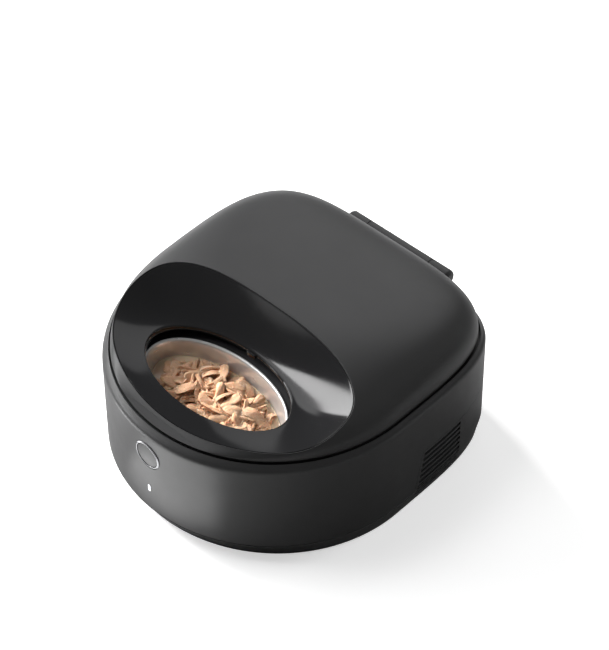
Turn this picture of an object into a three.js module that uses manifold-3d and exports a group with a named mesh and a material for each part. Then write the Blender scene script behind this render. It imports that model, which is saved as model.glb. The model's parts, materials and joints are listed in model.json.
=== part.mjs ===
import * as THREE from "three";
import { mergeVertices } from "three/addons/utils/BufferGeometryUtils.js";
import Module from "manifold-3d";

const wasm = await Module();
wasm.setup();

// All lengths are in millimetres. The front is -Y, +Z is up and the floor is z = 0.

// Clearances shared by all pieces.
const restGap = 0.3;
const shaftGap = 0.2;
const overrun = 5;

// Bowls, tray and well. They set the plan of everything round them.
const bowlHalfLength = 82;
const bowlHalfDepth = 45.5;
const bowlDepth = 36;
const bowlWall = 0.9;
const bowlLean = 18;
const bowlRimHeight = 1.6;
const bowlRimWidth = 2.6;
const bowlGap = 40.4;
const bowlFloorGap = 7.3;
const foodGap = 0.4;
const foodHeap = 7.5;
const trayMargin = 4;
const trayThickness = 2.2;
const traySkirtHeight = 12.6;
const traySkirtWall = 2.2;
const trayDrop = 6.9;
const trayGap = 2.5;
const wellWall = 2;
const wellLift = 5.7;
const wellBack = 12;

// Body seen from above: a round front half and a squarer rear half.
const wellSideMargin = 16;
const wellFrontMargin = 31;
const wellRearMargin = 15;
const frontPowerShare = 2;
const rearPowerShare = 4.3;

// Body wall, shoulder and the groove round the lid.
const wallThickness = 2.8;
const wallFlare = 2.5;
const shoulderRise = 3.1;
const shoulderTuck = 0.7;
const bevelRise = 5.4;
const bevelTuck = 2;
const ledgeWidth = 1.4;
const ledgeRise = 7.9;
const lipRise = 8.7;
const grooveWidth = 1.8;
const deckRise = 4;
const deckThickness = 2;
const deckInset = 1.5;
const seatWidth = 4;
const seatThickness = 2.2;

// Bottom cover and feet.
const seamHeight = 21.9;
const seamFallShare = 0.02;
const seamGap = 0.4;
const footSideTuck = -0.3;
const footFrontTuck = 6;
const coverEdgeHeight = 5;
const coverChamferRise = 0.9;
const coverChamferTuck = 0.8;
const coverBottom = 1.5;
const coverBottomTuck = 2.6;
const coverThickness = 2.5;
const coverWall = 5.5;
const footRadius = 10;
const footHeight = 1.2;
const footSideInset = 52;
const footFrontInset = 78;
const footRearInset = 46;
const screwHeadRadius = 3.6;
const screwHeadHeight = 1.4;
const screwShankRadius = 1.6;
const screwLength = 8;
const screwInset = 24;
const intakeLength = 64;
const intakeWidth = 4;
const intakePitch = 9;

// Vent panel that wraps round the rear.
const ventFootFront = 18;
const ventHeadFront = 30.5;
const ventSideDrop = 50.5;
const ventRearDrop = 23.5;
const ventCorner = 6;
const ventRiseStart = 95;
const ventWall = 2.4;
const slotTopMargin = 5;
const slotPitch = 6.6;
const slotHeight = 3.8;
const slotMargin = 3.4;
const slotReach = 86;
const thinSlotStep = 5.2;
const thinSlotPitch = 3.7;
const thinSlotHeight = 1.8;
const rearSlotHalfWidth = 42;

// Lid plan, dome and the scoop round its opening.
const lidSideInset = 6.4;
const lidFrontInset = 9.4;
const lidRearInset = 6.4;
const lidSkirtGap = 1.7;
const lidSkirtTuck = 1.4;
const lidThickness = 2.4;
const domeRise = 41.9;
const domeRearFall = 4.9;
const crownFront = 43.4;
const noseMargin = 8.7;
const roundingFront = 40;
const roundingLength = 145.8;
const noseCurveShare = 2.235;
const frontRoundShare = 2.32;
const rearRoundShare = 7.29;
const domeEdgeShare = 0.416;
const scoopShift = 21.3;
const scoopSideMargin = 19.6;
const scoopFrontMargin = 11.6;
const scoopRearReach = 51;
const scoopRearPowerShare = 2.7;
const scoopDrop = 0.2;
const scoopThickness = 2.4;
const scoopCurveShare = 1.45;
const openingShift = 3.7;
const openingSideOverlap = 0.6;
const openingDepthOverlap = 0.3;
const openingRise = 2;
const openingTiltShare = -0.06;
const collarWall = 2;
const linerThickness = 2;
const linerGap = 0.7;
const gasketWidth = 2.3;
const gasketHeight = 0.8;
const gasketInset = 3;
const lidFoamHeight = 20;
const lidFoamInset = 16;
const lidFoamFront = 14;
const sensorHalfWidth = 5;
const sensorDepth = 3;
const sensorHeight = 5;

// Hinge behind the lid.
const hingeBack = 3.5;
const hingeRise = 3.6;
const hingeRadius = 8.5;
const hingeHalfLength = 65;
const hingeRounding = 4.5;
const tongueHalfLength = 39.3;
const hingeSideGap = 0.4;
const hingeSweepGap = 0.4;
const hingePinRadius = 2;
const hingePinInset = 1.5;
const hingeFootDrop = 16;
const hingeFootGap = 0.9;
const tongueThickness = 4;
const tongueReach = 14;

// Button, status light and the board behind them.
const buttonDrop = 22;
const bezelRadius = 15;
const bezelWall = 2;
const bezelProud = 0.7;
const bezelDepth = 5;
const buttonRecess = 0.5;
const buttonFlange = 1.8;
const buttonFlangeThickness = 1.2;
const buttonTravel = 1.2;
const switchSize = 6;
const switchDepth = 3.6;
const boardThickness = 1.6;
const panelBoardHalfWidth = 20;
const panelBoardMargin = 9;
const lightDrop = 44.2;
const lightWidth = 3;
const lightLength = 8.5;
const lightProud = 0.15;

// Turntable drive.
const turntableRadius = 60;
const turntableThickness = 3;
const bearingFlangeHeight = 2.6;
const bearingFlangeRadius = 12;
const bearingRadius = 7.7;
const bearingDrop = 8;
const bearingTopGap = 0.4;
const spindleRadius = 4;
const spindleHubCover = 4;
const hubWall = 2.6;
const hubBore = 10;
const hubKeyReach = 3.4;
const hubKeyWidth = 5;
const hubSocketDepth = 16;
const hubRoof = 4.6;
const couplerKeyGap = 0.3;
const couplerHeight = 13;
const couplerKeyDrop = 2;
const knobRise = 5.4;
const knobChamfer = 3;
const knobTopInset = 4;
const gearModule = 2.4;
const gearWidth = 8;
const seatBushRadius = 8;
const seatBushHeight = 10;
const motorRadius = 18;
const pinionHub = 4.5;
const toothTipShare = 0.9;
const gearTeethCount = 30;
const pinionTeethCount = 10;

// Cooling of the well.
const coldPlateHalfWidth = 49.7;
const coldPlateHalfDepth = 22.7;
const coldPlateThickness = 3.7;
const sinkGearGap = 5.84;
const peltierHalfSize = 20;
const peltierThickness = 3.6;
const sinkHalfWidth = 50;
const sinkHalfDepth = 29;
const sinkBase = 6;
const finThickness = 2;
const finPitch = 9.4;
const finLift = 16;
const fanHalfSize = 26;
const fanDepth = 15;
const fanWall = 2.6;
const fanHubRadius = 9;
const fanBladeGap = 1.4;
const fanBladeThickness = 1.8;
const fanBladeWidth = 11;
const fanSpokeWidth = 4;
const fanSpokeThickness = 2;
const fanSinkGap = 0.6;
const fanBladeDegrees = 38;
const wellFoamThickness = 6;
const wellFoamGap = 1;
const wellFoamFoot = 2;

// Main board and power inlet.
const mainBoardHalfWidth = 34;
const mainBoardHalfDepth = 28;
const mainBoardSide = 72;
const mainBoardMargin = 10;
const boardRail = 4;
const boardRailHeight = 5;
const chipSize = 14;
const chipHeight = 2;
const coilRadius = 6;
const coilHeight = 9;
const inletSide = 62;
const inletHeight = 30;
const inletRadius = 6;
const inletBore = 3;
const inletPin = 0.9;
const inletDepth = 13;
const inletProud = 0.5;

// Numbers of sides and of repeated features.
const stationCount = 40;
const evenShare = 0.65;
const bowlSideCount = 24;
const traySideCount = 32;
const roundSideCount = 20;
const smallSideCount = 12;
const bowlCount = 3;
const slotCount = 6;
const thinSlotCount = 4;
const intakeCount = 6;
const finCount = 11;
const bladeCount = 7;
const keyCount = 3;
const mergeLimitShare = 1e-5;

// Worked-out sizes and places.
const bowlTurn = Math.PI / bowlCount;
const bowlReach = Math.hypot(bowlHalfLength * Math.cos(bowlTurn),
  bowlHalfDepth * Math.sin(bowlTurn));
const bowlOrbit = (bowlReach + bowlGap / 2) / Math.sin(bowlTurn);
const bowlPlace = bowlOrbit - wellBack;
const trayRadius = bowlOrbit + bowlHalfDepth + trayMargin;
const wellRadius = trayRadius + trayGap;
const wellOuter = wellRadius + wellWall;
const coverTop = coverBottom + coverThickness;
const standHeight = coverTop + restGap;
const floorUnder = standHeight + 2 * fanHalfSize + wellLift;
const floorTop = floorUnder + wellWall;
const turntableUnder = floorTop + restGap + bearingFlangeHeight + bearingTopGap;
const turntableTop = turntableUnder + turntableThickness;
const rimTop = turntableTop + bowlFloorGap + bowlWall + bowlDepth;
const trayTop = rimTop - bowlRimHeight - restGap;
const trayUnder = trayTop - trayThickness;
const deckTop = trayTop + trayDrop;
const deckUnder = deckTop - deckThickness;
const shoulderHeight = deckTop - deckRise;
const linerUnder = deckTop + restGap + gasketHeight + restGap;
const linerTop = linerUnder + linerThickness;
const lidEdge = linerTop + linerGap + lidThickness;
const skirtBottom = deckTop + lidSkirtGap;
const openingPlace = bowlPlace - openingShift;
const openingHeight = lidEdge + openingRise;
const scoopBack = openingPlace - scoopShift;
const ventSideTop = shoulderHeight - ventSideDrop;
const ventRearTop = shoulderHeight - ventRearDrop;
const slotTop = ventSideTop - slotTopMargin;
const thinSlotTop = slotTop - (slotCount - 1) * slotPitch - thinSlotStep;
const buttonHeight = shoulderHeight - buttonDrop;
const lightHeight = buttonHeight - lightDrop;
const hubRadius = hubBore + hubKeyReach + hubWall;
const gearTipRadius = gearModule * (gearTeethCount / 2 + toothTipShare);
const coldMiddle = wellBack + gearTipRadius + sinkGearGap + sinkHalfDepth;

const bodyOutline = {
  half: wellRadius + wellSideMargin,
  front: wellRadius - wellBack + wellFrontMargin,
  rear: wellRadius + wellBack + wellRearMargin,
  frontPower: frontPowerShare,
  rearPower: rearPowerShare,
  middle: 0,
};
const footSide = bodyOutline.half - footSideInset;
const footFront = bodyOutline.front - footFrontInset;
const footRear = bodyOutline.rear - footRearInset;
const mainBoardFront = footFront - mainBoardMargin - mainBoardHalfDepth;
const lidOutline = {
  ...bodyOutline,
  half: bodyOutline.half - lidSideInset,
  front: bodyOutline.front - lidFrontInset,
  rear: bodyOutline.rear - lidRearInset,
};
const footOutline = {
  ...bodyOutline,
  half: bodyOutline.half - footSideTuck,
  front: bodyOutline.front - footFrontTuck,
};
const scoopOutline = {
  half: lidOutline.half - scoopSideMargin,
  front: lidOutline.front - scoopFrontMargin - scoopBack,
  rear: scoopRearReach,
  frontPower: frontPowerShare,
  rearPower: scoopRearPowerShare,
  middle: -scoopBack,
};
const openingOutline = {
  half: bowlHalfLength - openingSideOverlap,
  front: bowlHalfDepth - openingDepthOverlap,
  rear: bowlHalfDepth - openingDepthOverlap,
  frontPower: frontPowerShare,
  rearPower: frontPowerShare,
  middle: -openingPlace,
};

// A round outline about the well's centre.
function wellCircle(radius) {
  return {
    half: radius,
    front: radius,
    rear: radius,
    frontPower: frontPowerShare,
    rearPower: frontPowerShare,
    middle: wellBack,
  };
}

function grown(outline, amount) {
  return {
    ...outline,
    half: outline.half + amount,
    front: outline.front + amount,
    rear: outline.rear + amount,
  };
}

// 1 on the outline, less inside it.
function gauge(outline, x, y) {
  const away = y - outline.middle;
  const reach = away < 0 ? outline.front : outline.rear;
  const power = away < 0 ? outline.frontPower : outline.rearPower;
  const sum = Math.abs(x / outline.half) ** power + Math.abs(away / reach) ** power;
  return sum ** (1 / power);
}

// Points along each half of the body outline, starting on its right side. Part of their
// spacing follows the length of the outline and the rest follows its bend.
function bodyStations() {
  const fineCount = 720;
  const half = stationCount / 2;
  const places = [];
  for (const side of [1, -1]) {
    const reach = side > 0 ? bodyOutline.rear : bodyOutline.front;
    const power = 2 / (side > 0 ? bodyOutline.rearPower : bodyOutline.frontPower);
    const trail = [];
    let length = 0;
    let bend = 0;
    let heading = side * (Math.PI / 2);
    for (let step = 0; step <= fineCount; step += 1) {
      const angle = (Math.PI * step) / fineCount;
      const across = side * Math.cos(angle);
      const x = bodyOutline.half * Math.sign(across) * Math.abs(across) ** power;
      const y = side * reach * Math.abs(Math.sin(angle)) ** power;
      if (step > 0) {
        const [dx, dy] = [x - trail[step - 1].x, y - trail[step - 1].y];
        const course = Math.atan2(dy, dx);
        const change = Math.abs(course - heading);
        length += Math.hypot(dx, dy);
        bend += Math.min(change, 2 * Math.PI - change);
        heading = course;
      }
      trail.push({ x, y, length, bend });
    }
    const progress = trail.map((point) => (evenShare * point.length) / length
      + ((1 - evenShare) * point.bend) / bend);
    for (let index = 0; index < half; index += 1) {
      const wanted = index / half;
      const next = Math.max(1, progress.findIndex((value) => value >= wanted));
      const mix = (wanted - progress[next - 1]) / (progress[next] - progress[next - 1]);
      const [from, to] = [trail[next - 1], trail[next]];
      places.push([from.x + (to.x - from.x) * mix, from.y + (to.y - from.y) * mix]);
    }
  }
  return places;
}
const stations = bodyStations();

// Where the ray from the eye through a station meets an outline.
function meet(outline, eye, station) {
  const at = (reach) => [
    eye[0] + (station[0] - eye[0]) * reach,
    eye[1] + (station[1] - eye[1]) * reach,
  ];
  let near = 0;
  let far = 1;
  while (gauge(outline, ...at(far)) < 1) far *= 2;
  for (let step = 0; step < 44; step += 1) {
    const middle = (near + far) / 2;
    if (gauge(outline, ...at(middle)) < 1) near = middle;
    else far = middle;
  }
  return at(far);
}

// One ring of points on an outline. The height is a number or a function of the place.
function ring(outline, height, eye = [0, 0]) {
  return stations.map((station) => {
    const [x, y] = meet(outline, eye, station);
    return [x, y, typeof height === "function" ? height(x, y) : height];
  });
}

// A ring part of the way from one outline to another.
function ringBetween(from, to, share, height, eye) {
  return stations.map((station) => {
    const [ax, ay] = meet(from, eye, station);
    const [bx, by] = meet(to, eye, station);
    const x = ax + (bx - ax) * share;
    const y = ay + (by - ay) * share;
    return [x, y, height(x, y, [ax, ay], [bx, by])];
  });
}

// A closed surface through rings of equally many points, either joined end to start or capped.
function skin(rings, joined) {
  const around = rings[0].length;
  const points = rings.flat();
  const faces = [];
  const last = joined ? rings.length : rings.length - 1;
  for (let row = 0; row < last; row += 1) {
    const next = (row + 1) % rings.length;
    for (let index = 0; index < around; index += 1) {
      const beside = (index + 1) % around;
      const a = row * around + index;
      const b = row * around + beside;
      const c = next * around + beside;
      const d = next * around + index;
      faces.push([a, b, c], [a, c, d]);
    }
  }
  if (!joined) {
    for (const row of [0, rings.length - 1]) {
      const edge = rings[row];
      const centre = [0, 1, 2].map((k) => edge.reduce((sum, p) => sum + p[k], 0) / around);
      const hub = points.push(centre) - 1;
      for (let index = 0; index < around; index += 1) {
        const a = row * around + index;
        const b = row * around + ((index + 1) % around);
        faces.push(row === 0 ? [hub, b, a] : [hub, a, b]);
      }
    }
  }
  return surface(points, faces);
}

// Turns the faces outward if they enclose a negative volume.
function surface(points, faces) {
  let volume = 0;
  for (const [a, b, c] of faces) {
    const [p, q, r] = [points[a], points[b], points[c]];
    volume += p[0] * (q[1] * r[2] - q[2] * r[1]);
    volume += p[1] * (q[2] * r[0] - q[0] * r[2]);
    volume += p[2] * (q[0] * r[1] - q[1] * r[0]);
  }
  const outward = volume < 0 ? faces.map(([a, b, c]) => [a, c, b]) : faces;
  const geometry = new THREE.BufferGeometry();
  geometry.setAttribute("position", new THREE.Float32BufferAttribute(points.flat(), 3));
  geometry.setIndex(outward.flat());
  return geometry;
}

// A body turned about a vertical axis through (x, y) from a profile of [radius, height].
function turned(profile, joined, sides, x = 0, y = 0) {
  const rings = profile.map(([radius, height]) => {
    const points = [];
    for (let index = 0; index < sides; index += 1) {
      const angle = (2 * Math.PI * index) / sides;
      points.push([x + radius * Math.cos(angle), y + radius * Math.sin(angle), height]);
    }
    return points;
  });
  return skin(rings, joined);
}

function disc(radius, low, high, x = 0, y = 0, sides = roundSideCount) {
  return turned([[radius, low], [radius, high]], false, sides, x, y);
}

function tube(inner, outer, low, high, x = 0, y = 0, sides = roundSideCount) {
  const profile = [[inner, low], [outer, low], [outer, high], [inner, high]];
  return turned(profile, true, sides, x, y);
}

// A rod between two values of x or of y.
function rodX(radius, low, high, y, z, sides = roundSideCount) {
  return disc(radius, low, high, 0, 0, sides).rotateY(Math.PI / 2).translate(0, y, z);
}

function rodY(radius, low, high, x, z, sides = roundSideCount) {
  return disc(radius, low, high, 0, 0, sides).rotateX(-Math.PI / 2).translate(x, 0, z);
}

function block(x0, x1, y0, y1, z0, z1) {
  const body = new THREE.BoxGeometry(x1 - x0, y1 - y0, z1 - z0);
  return body.translate((x0 + x1) / 2, (y0 + y1) / 2, (z0 + z1) / 2);
}

// A prism over a plan outline.
function prism(points, low, high) {
  const shape = new THREE.Shape(points.map(([x, y]) => new THREE.Vector2(x, y)));
  const body = new THREE.ExtrudeGeometry(shape, { depth: high - low, bevelEnabled: false });
  return body.translate(0, 0, low);
}

// A prism over an outline of [y, z], running along x.
function sideBlock(points, low, high) {
  const body = prism(points, low, high);
  const place = body.getAttribute("position");
  for (let index = 0; index < place.count; index += 1) {
    place.setXYZ(index, place.getZ(index), place.getX(index), place.getY(index));
  }
  return body;
}

function solid(geometry) {
  const bare = geometry.clone();
  bare.deleteAttribute("normal");
  bare.deleteAttribute("uv");
  const merged = mergeVertices(bare, bodyOutline.half * mergeLimitShare);
  return new wasm.Manifold(
    new wasm.Mesh({
      numProp: 3,
      vertProperties: new Float32Array(merged.getAttribute("position").array),
      triVerts: new Uint32Array(merged.index.array),
    }),
  );
}

function geometryOf(body) {
  const mesh = body.getMesh();
  const count = mesh.vertProperties.length / mesh.numProp;
  const points = [];
  for (let index = 0; index < count; index += 1) {
    const start = index * mesh.numProp;
    points.push(...mesh.vertProperties.subarray(start, start + 3));
  }
  const geometry = new THREE.BufferGeometry();
  geometry.setAttribute("position", new THREE.Float32BufferAttribute(points, 3));
  geometry.setIndex([...mesh.triVerts]);
  return geometry;
}

function cut(base, ...tools) {
  return geometryOf(tools.reduce((body, tool) => body.subtract(solid(tool)), solid(base)));
}

function join(base, ...parts) {
  return geometryOf(parts.reduce((body, part) => body.add(solid(part)), solid(base)));
}

function common(base, other) {
  return geometryOf(solid(base).intersect(solid(other)));
}

function within(value) {
  return Math.min(Math.max(value, 0), 1);
}

function smooth(value) {
  const part = within(value);
  return part * part * (3 - 2 * part);
}

// Height of the dome over a place, for a surface sunk below the outer one.
function domeHeight(x, y, sunk) {
  const edge = Math.min(gauge(grown(lidOutline, -sunk), x, y), 1);
  const noseLength = lidOutline.front - noseMargin - crownFront;
  const nose = within((-crownFront - y) / noseLength) ** noseCurveShare;
  const back = smooth(y / lidOutline.rear);
  const rise = domeRise * (1 - nose) - domeRearFall * back;
  const turn = smooth((y + roundingFront) / roundingLength);
  const power = frontRoundShare + (rearRoundShare - frontRoundShare) * turn;
  return lidEdge - sunk + rise * (1 - edge ** power) ** domeEdgeShare;
}

function seamAt(x, y) {
  return seamHeight - seamFallShare * (y + bodyOutline.front);
}

function openingAt(x, y) {
  return openingHeight + openingTiltShare * (y + openingPlace);
}

// Outward lean of the wall at a height.
function leanAt(height) {
  return (wallFlare * (shoulderHeight - height)) / (shoulderHeight - seamHeight);
}

const finishes = {
  charcoal: [0x3b3c3e, 0.45, 0],
  gloss: [0x101113, 0.12, 0],
  steel: [0xb9bcc0, 0.3, 1],
  chrome: [0xe2e4e6, 0.08, 1],
  rubber: [0x1b1b1c, 0.85, 0],
  foam: [0xd8d8d4, 0.95, 0],
  liner: [0x2a2b2d, 0.5, 0],
  board: [0x1f5a34, 0.5, 0],
  aluminium: [0xa9adb1, 0.4, 1],
  nylon: [0xe6e2d6, 0.5, 0],
  light: [0xf4f8ff, 0.3, 0],
  food: [0xd9a27a, 0.5, 0],
};

const root = new THREE.Group();

function add(name, finish, geometry) {
  const [color, roughness, metalness] = finishes[finish];
  const look = new THREE.MeshStandardMaterial({ color, roughness, metalness });
  const mesh = new THREE.Mesh(geometry, look);
  mesh.name = name;
  root.add(mesh);
}

// Side view of the vent panel as [y, z], grown by a gap on its front and top edges.
function ventRegion(gap) {
  const fall = (ventHeadFront - ventFootFront) / ventSideTop;
  const frontAt = (height) => ventFootFront + fall * height - gap;
  const top = ventSideTop + gap;
  const rear = bodyOutline.rear + wallFlare + overrun;
  const climb = ventRearTop - ventSideTop;
  const run = bodyOutline.rear - ventRiseStart;
  const riseShares = [[0, 0], [0.3, 0.08], [0.6, 0.36], [0.85, 0.75], [1, 1]];
  const cornerShares = [[0, 1], [0.12, 0.5], [0.5, 0.12], [1, 0]];
  const edge = [[frontAt(-overrun), -overrun], [rear, -overrun], [rear, ventRearTop + gap]];
  const rise = riseShares.map(([along, up]) => [ventRiseStart + along * run, top + up * climb]);
  const corner = cornerShares.map(([along, down]) => {
    const low = top - ventCorner;
    return [frontAt(low) + along * ventCorner, top - down * ventCorner];
  });
  const points = [...edge, ...rise.reverse(), ...corner.reverse()];
  const half = bodyOutline.half + wallFlare + overrun;
  return sideBlock(points, -half, half);
}

const hingeY = bodyOutline.rear + hingeBack;
const hingeZ = deckTop + hingeRise;
const wallFace = (height) => -(bodyOutline.front + leanAt(height));
const buttonFace = wallFace(buttonHeight);
const lightFace = wallFace(lightHeight);
const deckOutline = grown(lidOutline, -deckInset);
const lipOutline = grown(lidOutline, grooveWidth);

// Outer wall with its shoulder, the groove round the lid and the seat of the well.
function baseHousing() {
  const seatHeight = deckUnder - restGap;
  const inner = grown(deckOutline, restGap);
  const rings = [
    ring(grown(bodyOutline, wallFlare), seamAt),
    ring(bodyOutline, shoulderHeight),
    ring(grown(bodyOutline, -shoulderTuck), shoulderHeight + shoulderRise),
    ring(grown(bodyOutline, -bevelTuck), shoulderHeight + bevelRise),
    ring(grown(lipOutline, ledgeWidth), shoulderHeight + ledgeRise),
    ring(lipOutline, shoulderHeight + lipRise),
    ring(lipOutline, deckTop),
    ring(inner, deckTop),
    ring(inner, seatHeight),
    ring(grown(inner, -seatWidth), seatHeight),
    ring(grown(inner, -seatWidth), seatHeight - seatThickness),
    ring(grown(bodyOutline, -wallThickness), seatHeight - seatThickness),
    ring(grown(bodyOutline, wallFlare - wallThickness), seamAt),
  ];
  const reach = hingeHalfLength + hingeSideGap;
  return cut(
    skin(rings, true),
    ventRegion(restGap),
    rodX(hingeRadius + hingeSweepGap, -reach, reach, hingeY, hingeZ),
    rodY(bezelRadius + restGap, buttonFace - overrun, buttonFace + bezelDepth + overrun, 0,
      buttonHeight),
    pill(restGap, lightFace - overrun, lightFace + overrun + wallThickness),
  );
}

// The status light's rounded bar, lying along y and grown all round by a gap.
function pill(gap, front, rear) {
  const radius = lightWidth / 2 + gap;
  const straight = (lightLength - lightWidth) / 2;
  const points = [];
  for (let step = 0; step < smallSideCount; step += 1) {
    const angle = (2 * Math.PI * (step + 0.5)) / smallSideCount;
    const lift = Math.sign(Math.sin(angle)) * straight;
    points.push([radius * Math.cos(angle), radius * Math.sin(angle) + lift]);
  }
  const near = points.map(([x, z]) => [x, front, z + lightHeight]);
  const away = points.map(([x, z]) => [x, rear, z + lightHeight]);
  return skin([near, away], false);
}

function screwPlaces() {
  const side = footSide - screwInset;
  return [[side, -footFront], [-side, -footFront], [side, footRear], [-side, footRear]];
}

function footPlaces() {
  const front = -footFront;
  return [[footSide, front], [-footSide, front], [footSide, footRear], [-footSide, footRear]];
}

// Floor plate of the body with the low wall that meets the outer wall at the seam.
function bottomCover() {
  const under = (x, y) => seamAt(x, y) - seamGap;
  const rings = [
    ring(grown(footOutline, -coverWall), coverTop),
    ring(grown(bodyOutline, wallFlare - wallThickness), under),
    ring(grown(bodyOutline, wallFlare), under),
    ring(footOutline, coverEdgeHeight),
    ring(grown(footOutline, -coverChamferTuck), coverBottom + coverChamferRise),
    ring(grown(footOutline, -coverBottomTuck), coverBottom),
  ];
  const rear = bodyOutline.rear + wallFlare + overrun;
  const half = bodyOutline.half + wallFlare + overrun;
  const band = block(-half, half, 0, rear, coverTop, seamHeight + overrun);
  const rails = [-1, 1].map((side) => {
    const y = -mainBoardFront + side * (mainBoardHalfDepth - boardRail);
    const low = coverTop - coverThickness / 2;
    return block(mainBoardSide - mainBoardHalfWidth, mainBoardSide + mainBoardHalfWidth,
      y - boardRail / 2, y + boardRail / 2, low, coverTop + boardRailHeight);
  });
  const slots = [];
  for (let index = 0; index < intakeCount; index += 1) {
    const y = coldMiddle + (index - (intakeCount - 1) / 2) * intakePitch;
    slots.push(block(-intakeLength / 2, intakeLength / 2, y - intakeWidth / 2,
      y + intakeWidth / 2, coverBottom - overrun, coverTop + overrun));
  }
  const holes = screwPlaces().flatMap(([x, y]) => [
    disc(screwHeadRadius + restGap, coverBottom - overrun,
      coverBottom + screwHeadHeight + restGap, x, y, smallSideCount),
    disc(screwShankRadius + restGap, coverBottom, coverTop + overrun, x, y, smallSideCount),
  ]);
  const cover = cut(skin(rings, false), common(ventRegion(restGap), band));
  return cut(join(cover, ...rails), ...slots, ...holes);
}

// Slotted panel that wraps round the rear of the body.
function rearGrille() {
  const base = grown(footOutline, -restGap);
  const rings = [
    ring(base, standHeight),
    ring(grown(bodyOutline, wallFlare), seamHeight),
    ring(bodyOutline, shoulderHeight),
    ring(grown(bodyOutline, -ventWall), shoulderHeight),
    ring(grown(bodyOutline, wallFlare - ventWall), seamHeight),
    ring(grown(base, -ventWall), standHeight),
  ];
  const half = bodyOutline.half + wallFlare + overrun;
  const rear = bodyOutline.rear + wallFlare + overrun;
  const fall = (ventHeadFront - ventFootFront) / ventSideTop;
  const slots = [];
  const row = (height, tall) => {
    const front = ventFootFront + fall * height + slotMargin;
    const [low, high] = [height - tall / 2, height + tall / 2];
    slots.push(block(-half, half, front, slotReach, low, high));
    if (tall < slotHeight) return;
    slots.push(block(-rearSlotHalfWidth, rearSlotHalfWidth, slotReach + overrun, rear, low, high));
  };
  for (let index = 0; index < slotCount; index += 1) row(slotTop - index * slotPitch, slotHeight);
  for (let index = 0; index < thinSlotCount; index += 1) {
    row(thinSlotTop - index * thinSlotPitch, thinSlotHeight);
  }
  const panel = common(skin(rings, true), ventRegion(0));
  const inletHole = rodY(inletRadius + restGap, bodyOutline.rear - overrun, rear, inletSide,
    inletHeight);
  return cut(panel, ...slots, inletHole);
}

// Deck with the round tub that holds the tray, open to the drive and to the cold plate.
function wellLiner() {
  const eye = [0, wellBack];
  const rings = [
    ring(wellCircle(wellRadius), floorTop, eye),
    ring(wellCircle(wellRadius), deckTop, eye),
    ring(deckOutline, deckTop, eye),
    ring(deckOutline, deckUnder, eye),
    ring(wellCircle(wellOuter), deckUnder, eye),
    ring(wellCircle(wellOuter), floorUnder, eye),
  ];
  const bore = bearingRadius + restGap;
  const [low, high] = [floorUnder - overrun, floorTop + overrun];
  const [windowX, windowY] = [coldPlateHalfWidth + restGap, coldPlateHalfDepth + restGap];
  return cut(
    skin(rings, false),
    disc(bore, low, high, 0, wellBack),
    block(-windowX, windowX, coldMiddle - windowY, coldMiddle + windowY, low, high),
  );
}

// Lid shell with the hole for the scoop.
function lidShell() {
  const eye = [0, -openingPlace];
  const outerShares = [0.006, 0.02, 0.06, 0.14, 0.3, 0.55, 1];
  const innerShares = [1, 0.4, 0.12];
  const inside = grown(lidOutline, -lidThickness);
  const rings = [
    ring(grown(lidOutline, -lidSkirtTuck), skirtBottom, eye),
    ring(lidOutline, lidEdge, eye),
    ...outerShares.map((share) => ringBetween(lidOutline, scoopOutline, share,
      (x, y) => domeHeight(x, y, 0), eye)),
    ...innerShares.map((share) => ringBetween(inside, scoopOutline, share,
      (x, y) => domeHeight(x, y, lidThickness), eye)),
    ring(inside, lidEdge - lidThickness, eye),
    ring(inside, skirtBottom, eye),
  ];
  const reach = tongueHalfLength + restGap;
  const slotHigh = linerTop + restGap + tongueThickness + restGap;
  const slot = block(-reach, reach, lidOutline.rear - tongueReach,
    lidOutline.rear + overrun, skirtBottom - overrun, slotHigh);
  return cut(skin(rings, true), slot);
}

// Glossy scoop from the dome down to the opening, with a collar round the opening.
function lidScoop() {
  const eye = [0, -openingPlace];
  const edge = grown(scoopOutline, -restGap);
  const topShares = [0, 0.15, 0.36, 0.58, 0.8, 1];
  const underShares = [1, 0.65, 0.3];
  const surfaceAt = (share, sunk) => ringBetween(openingOutline, edge, share,
    (x, y, inner, outer) => {
      const low = openingAt(...inner);
      const high = domeHeight(...outer, 0) - scoopDrop;
      return low + (high - low) * share ** scoopCurveShare - sunk;
    }, eye);
  const collar = grown(openingOutline, collarWall);
  return skin([
    ...topShares.map((share) => surfaceAt(share, 0)),
    ...underShares.map((share) => surfaceAt(share, scoopThickness)),
    ring(collar, (x, y) => openingAt(x, y) - scoopThickness, eye),
    ring(collar, linerUnder, eye),
    ring(openingOutline, linerUnder, eye),
  ], true);
}

// Inner plate of the lid.
function lidLiner() {
  const eye = [0, -openingPlace];
  const outer = grown(lidOutline, -lidThickness - linerGap);
  const hole = grown(openingOutline, collarWall + restGap);
  return skin([
    ring(outer, linerUnder, eye),
    ring(outer, linerTop, eye),
    ring(hole, linerTop, eye),
    ring(hole, linerUnder, eye),
  ], true);
}

// Foam in the rear half of the lid.
function lidInsulation() {
  const outline = grown(lidOutline, -lidFoamInset);
  const low = linerTop + restGap;
  const front = block(-outline.half - overrun, outline.half + overrun, lidFoamFront,
    outline.rear + overrun, low - overrun, low + lidFoamHeight + overrun);
  return common(skin([ring(outline, low), ring(outline, low + lidFoamHeight)], false), front);
}

function hingeTongue() {
  const low = linerTop + restGap;
  const front = lidOutline.rear - tongueReach + lidThickness;
  return cut(
    join(
      rodX(hingeRadius, -tongueHalfLength, tongueHalfLength, hingeY, hingeZ),
      block(-tongueHalfLength, tongueHalfLength, front, hingeY, low, low + tongueThickness),
    ),
    rodX(hingePinRadius + shaftGap, -tongueHalfLength - overrun, tongueHalfLength + overrun,
      hingeY, hingeZ, smallSideCount),
  );
}

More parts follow.
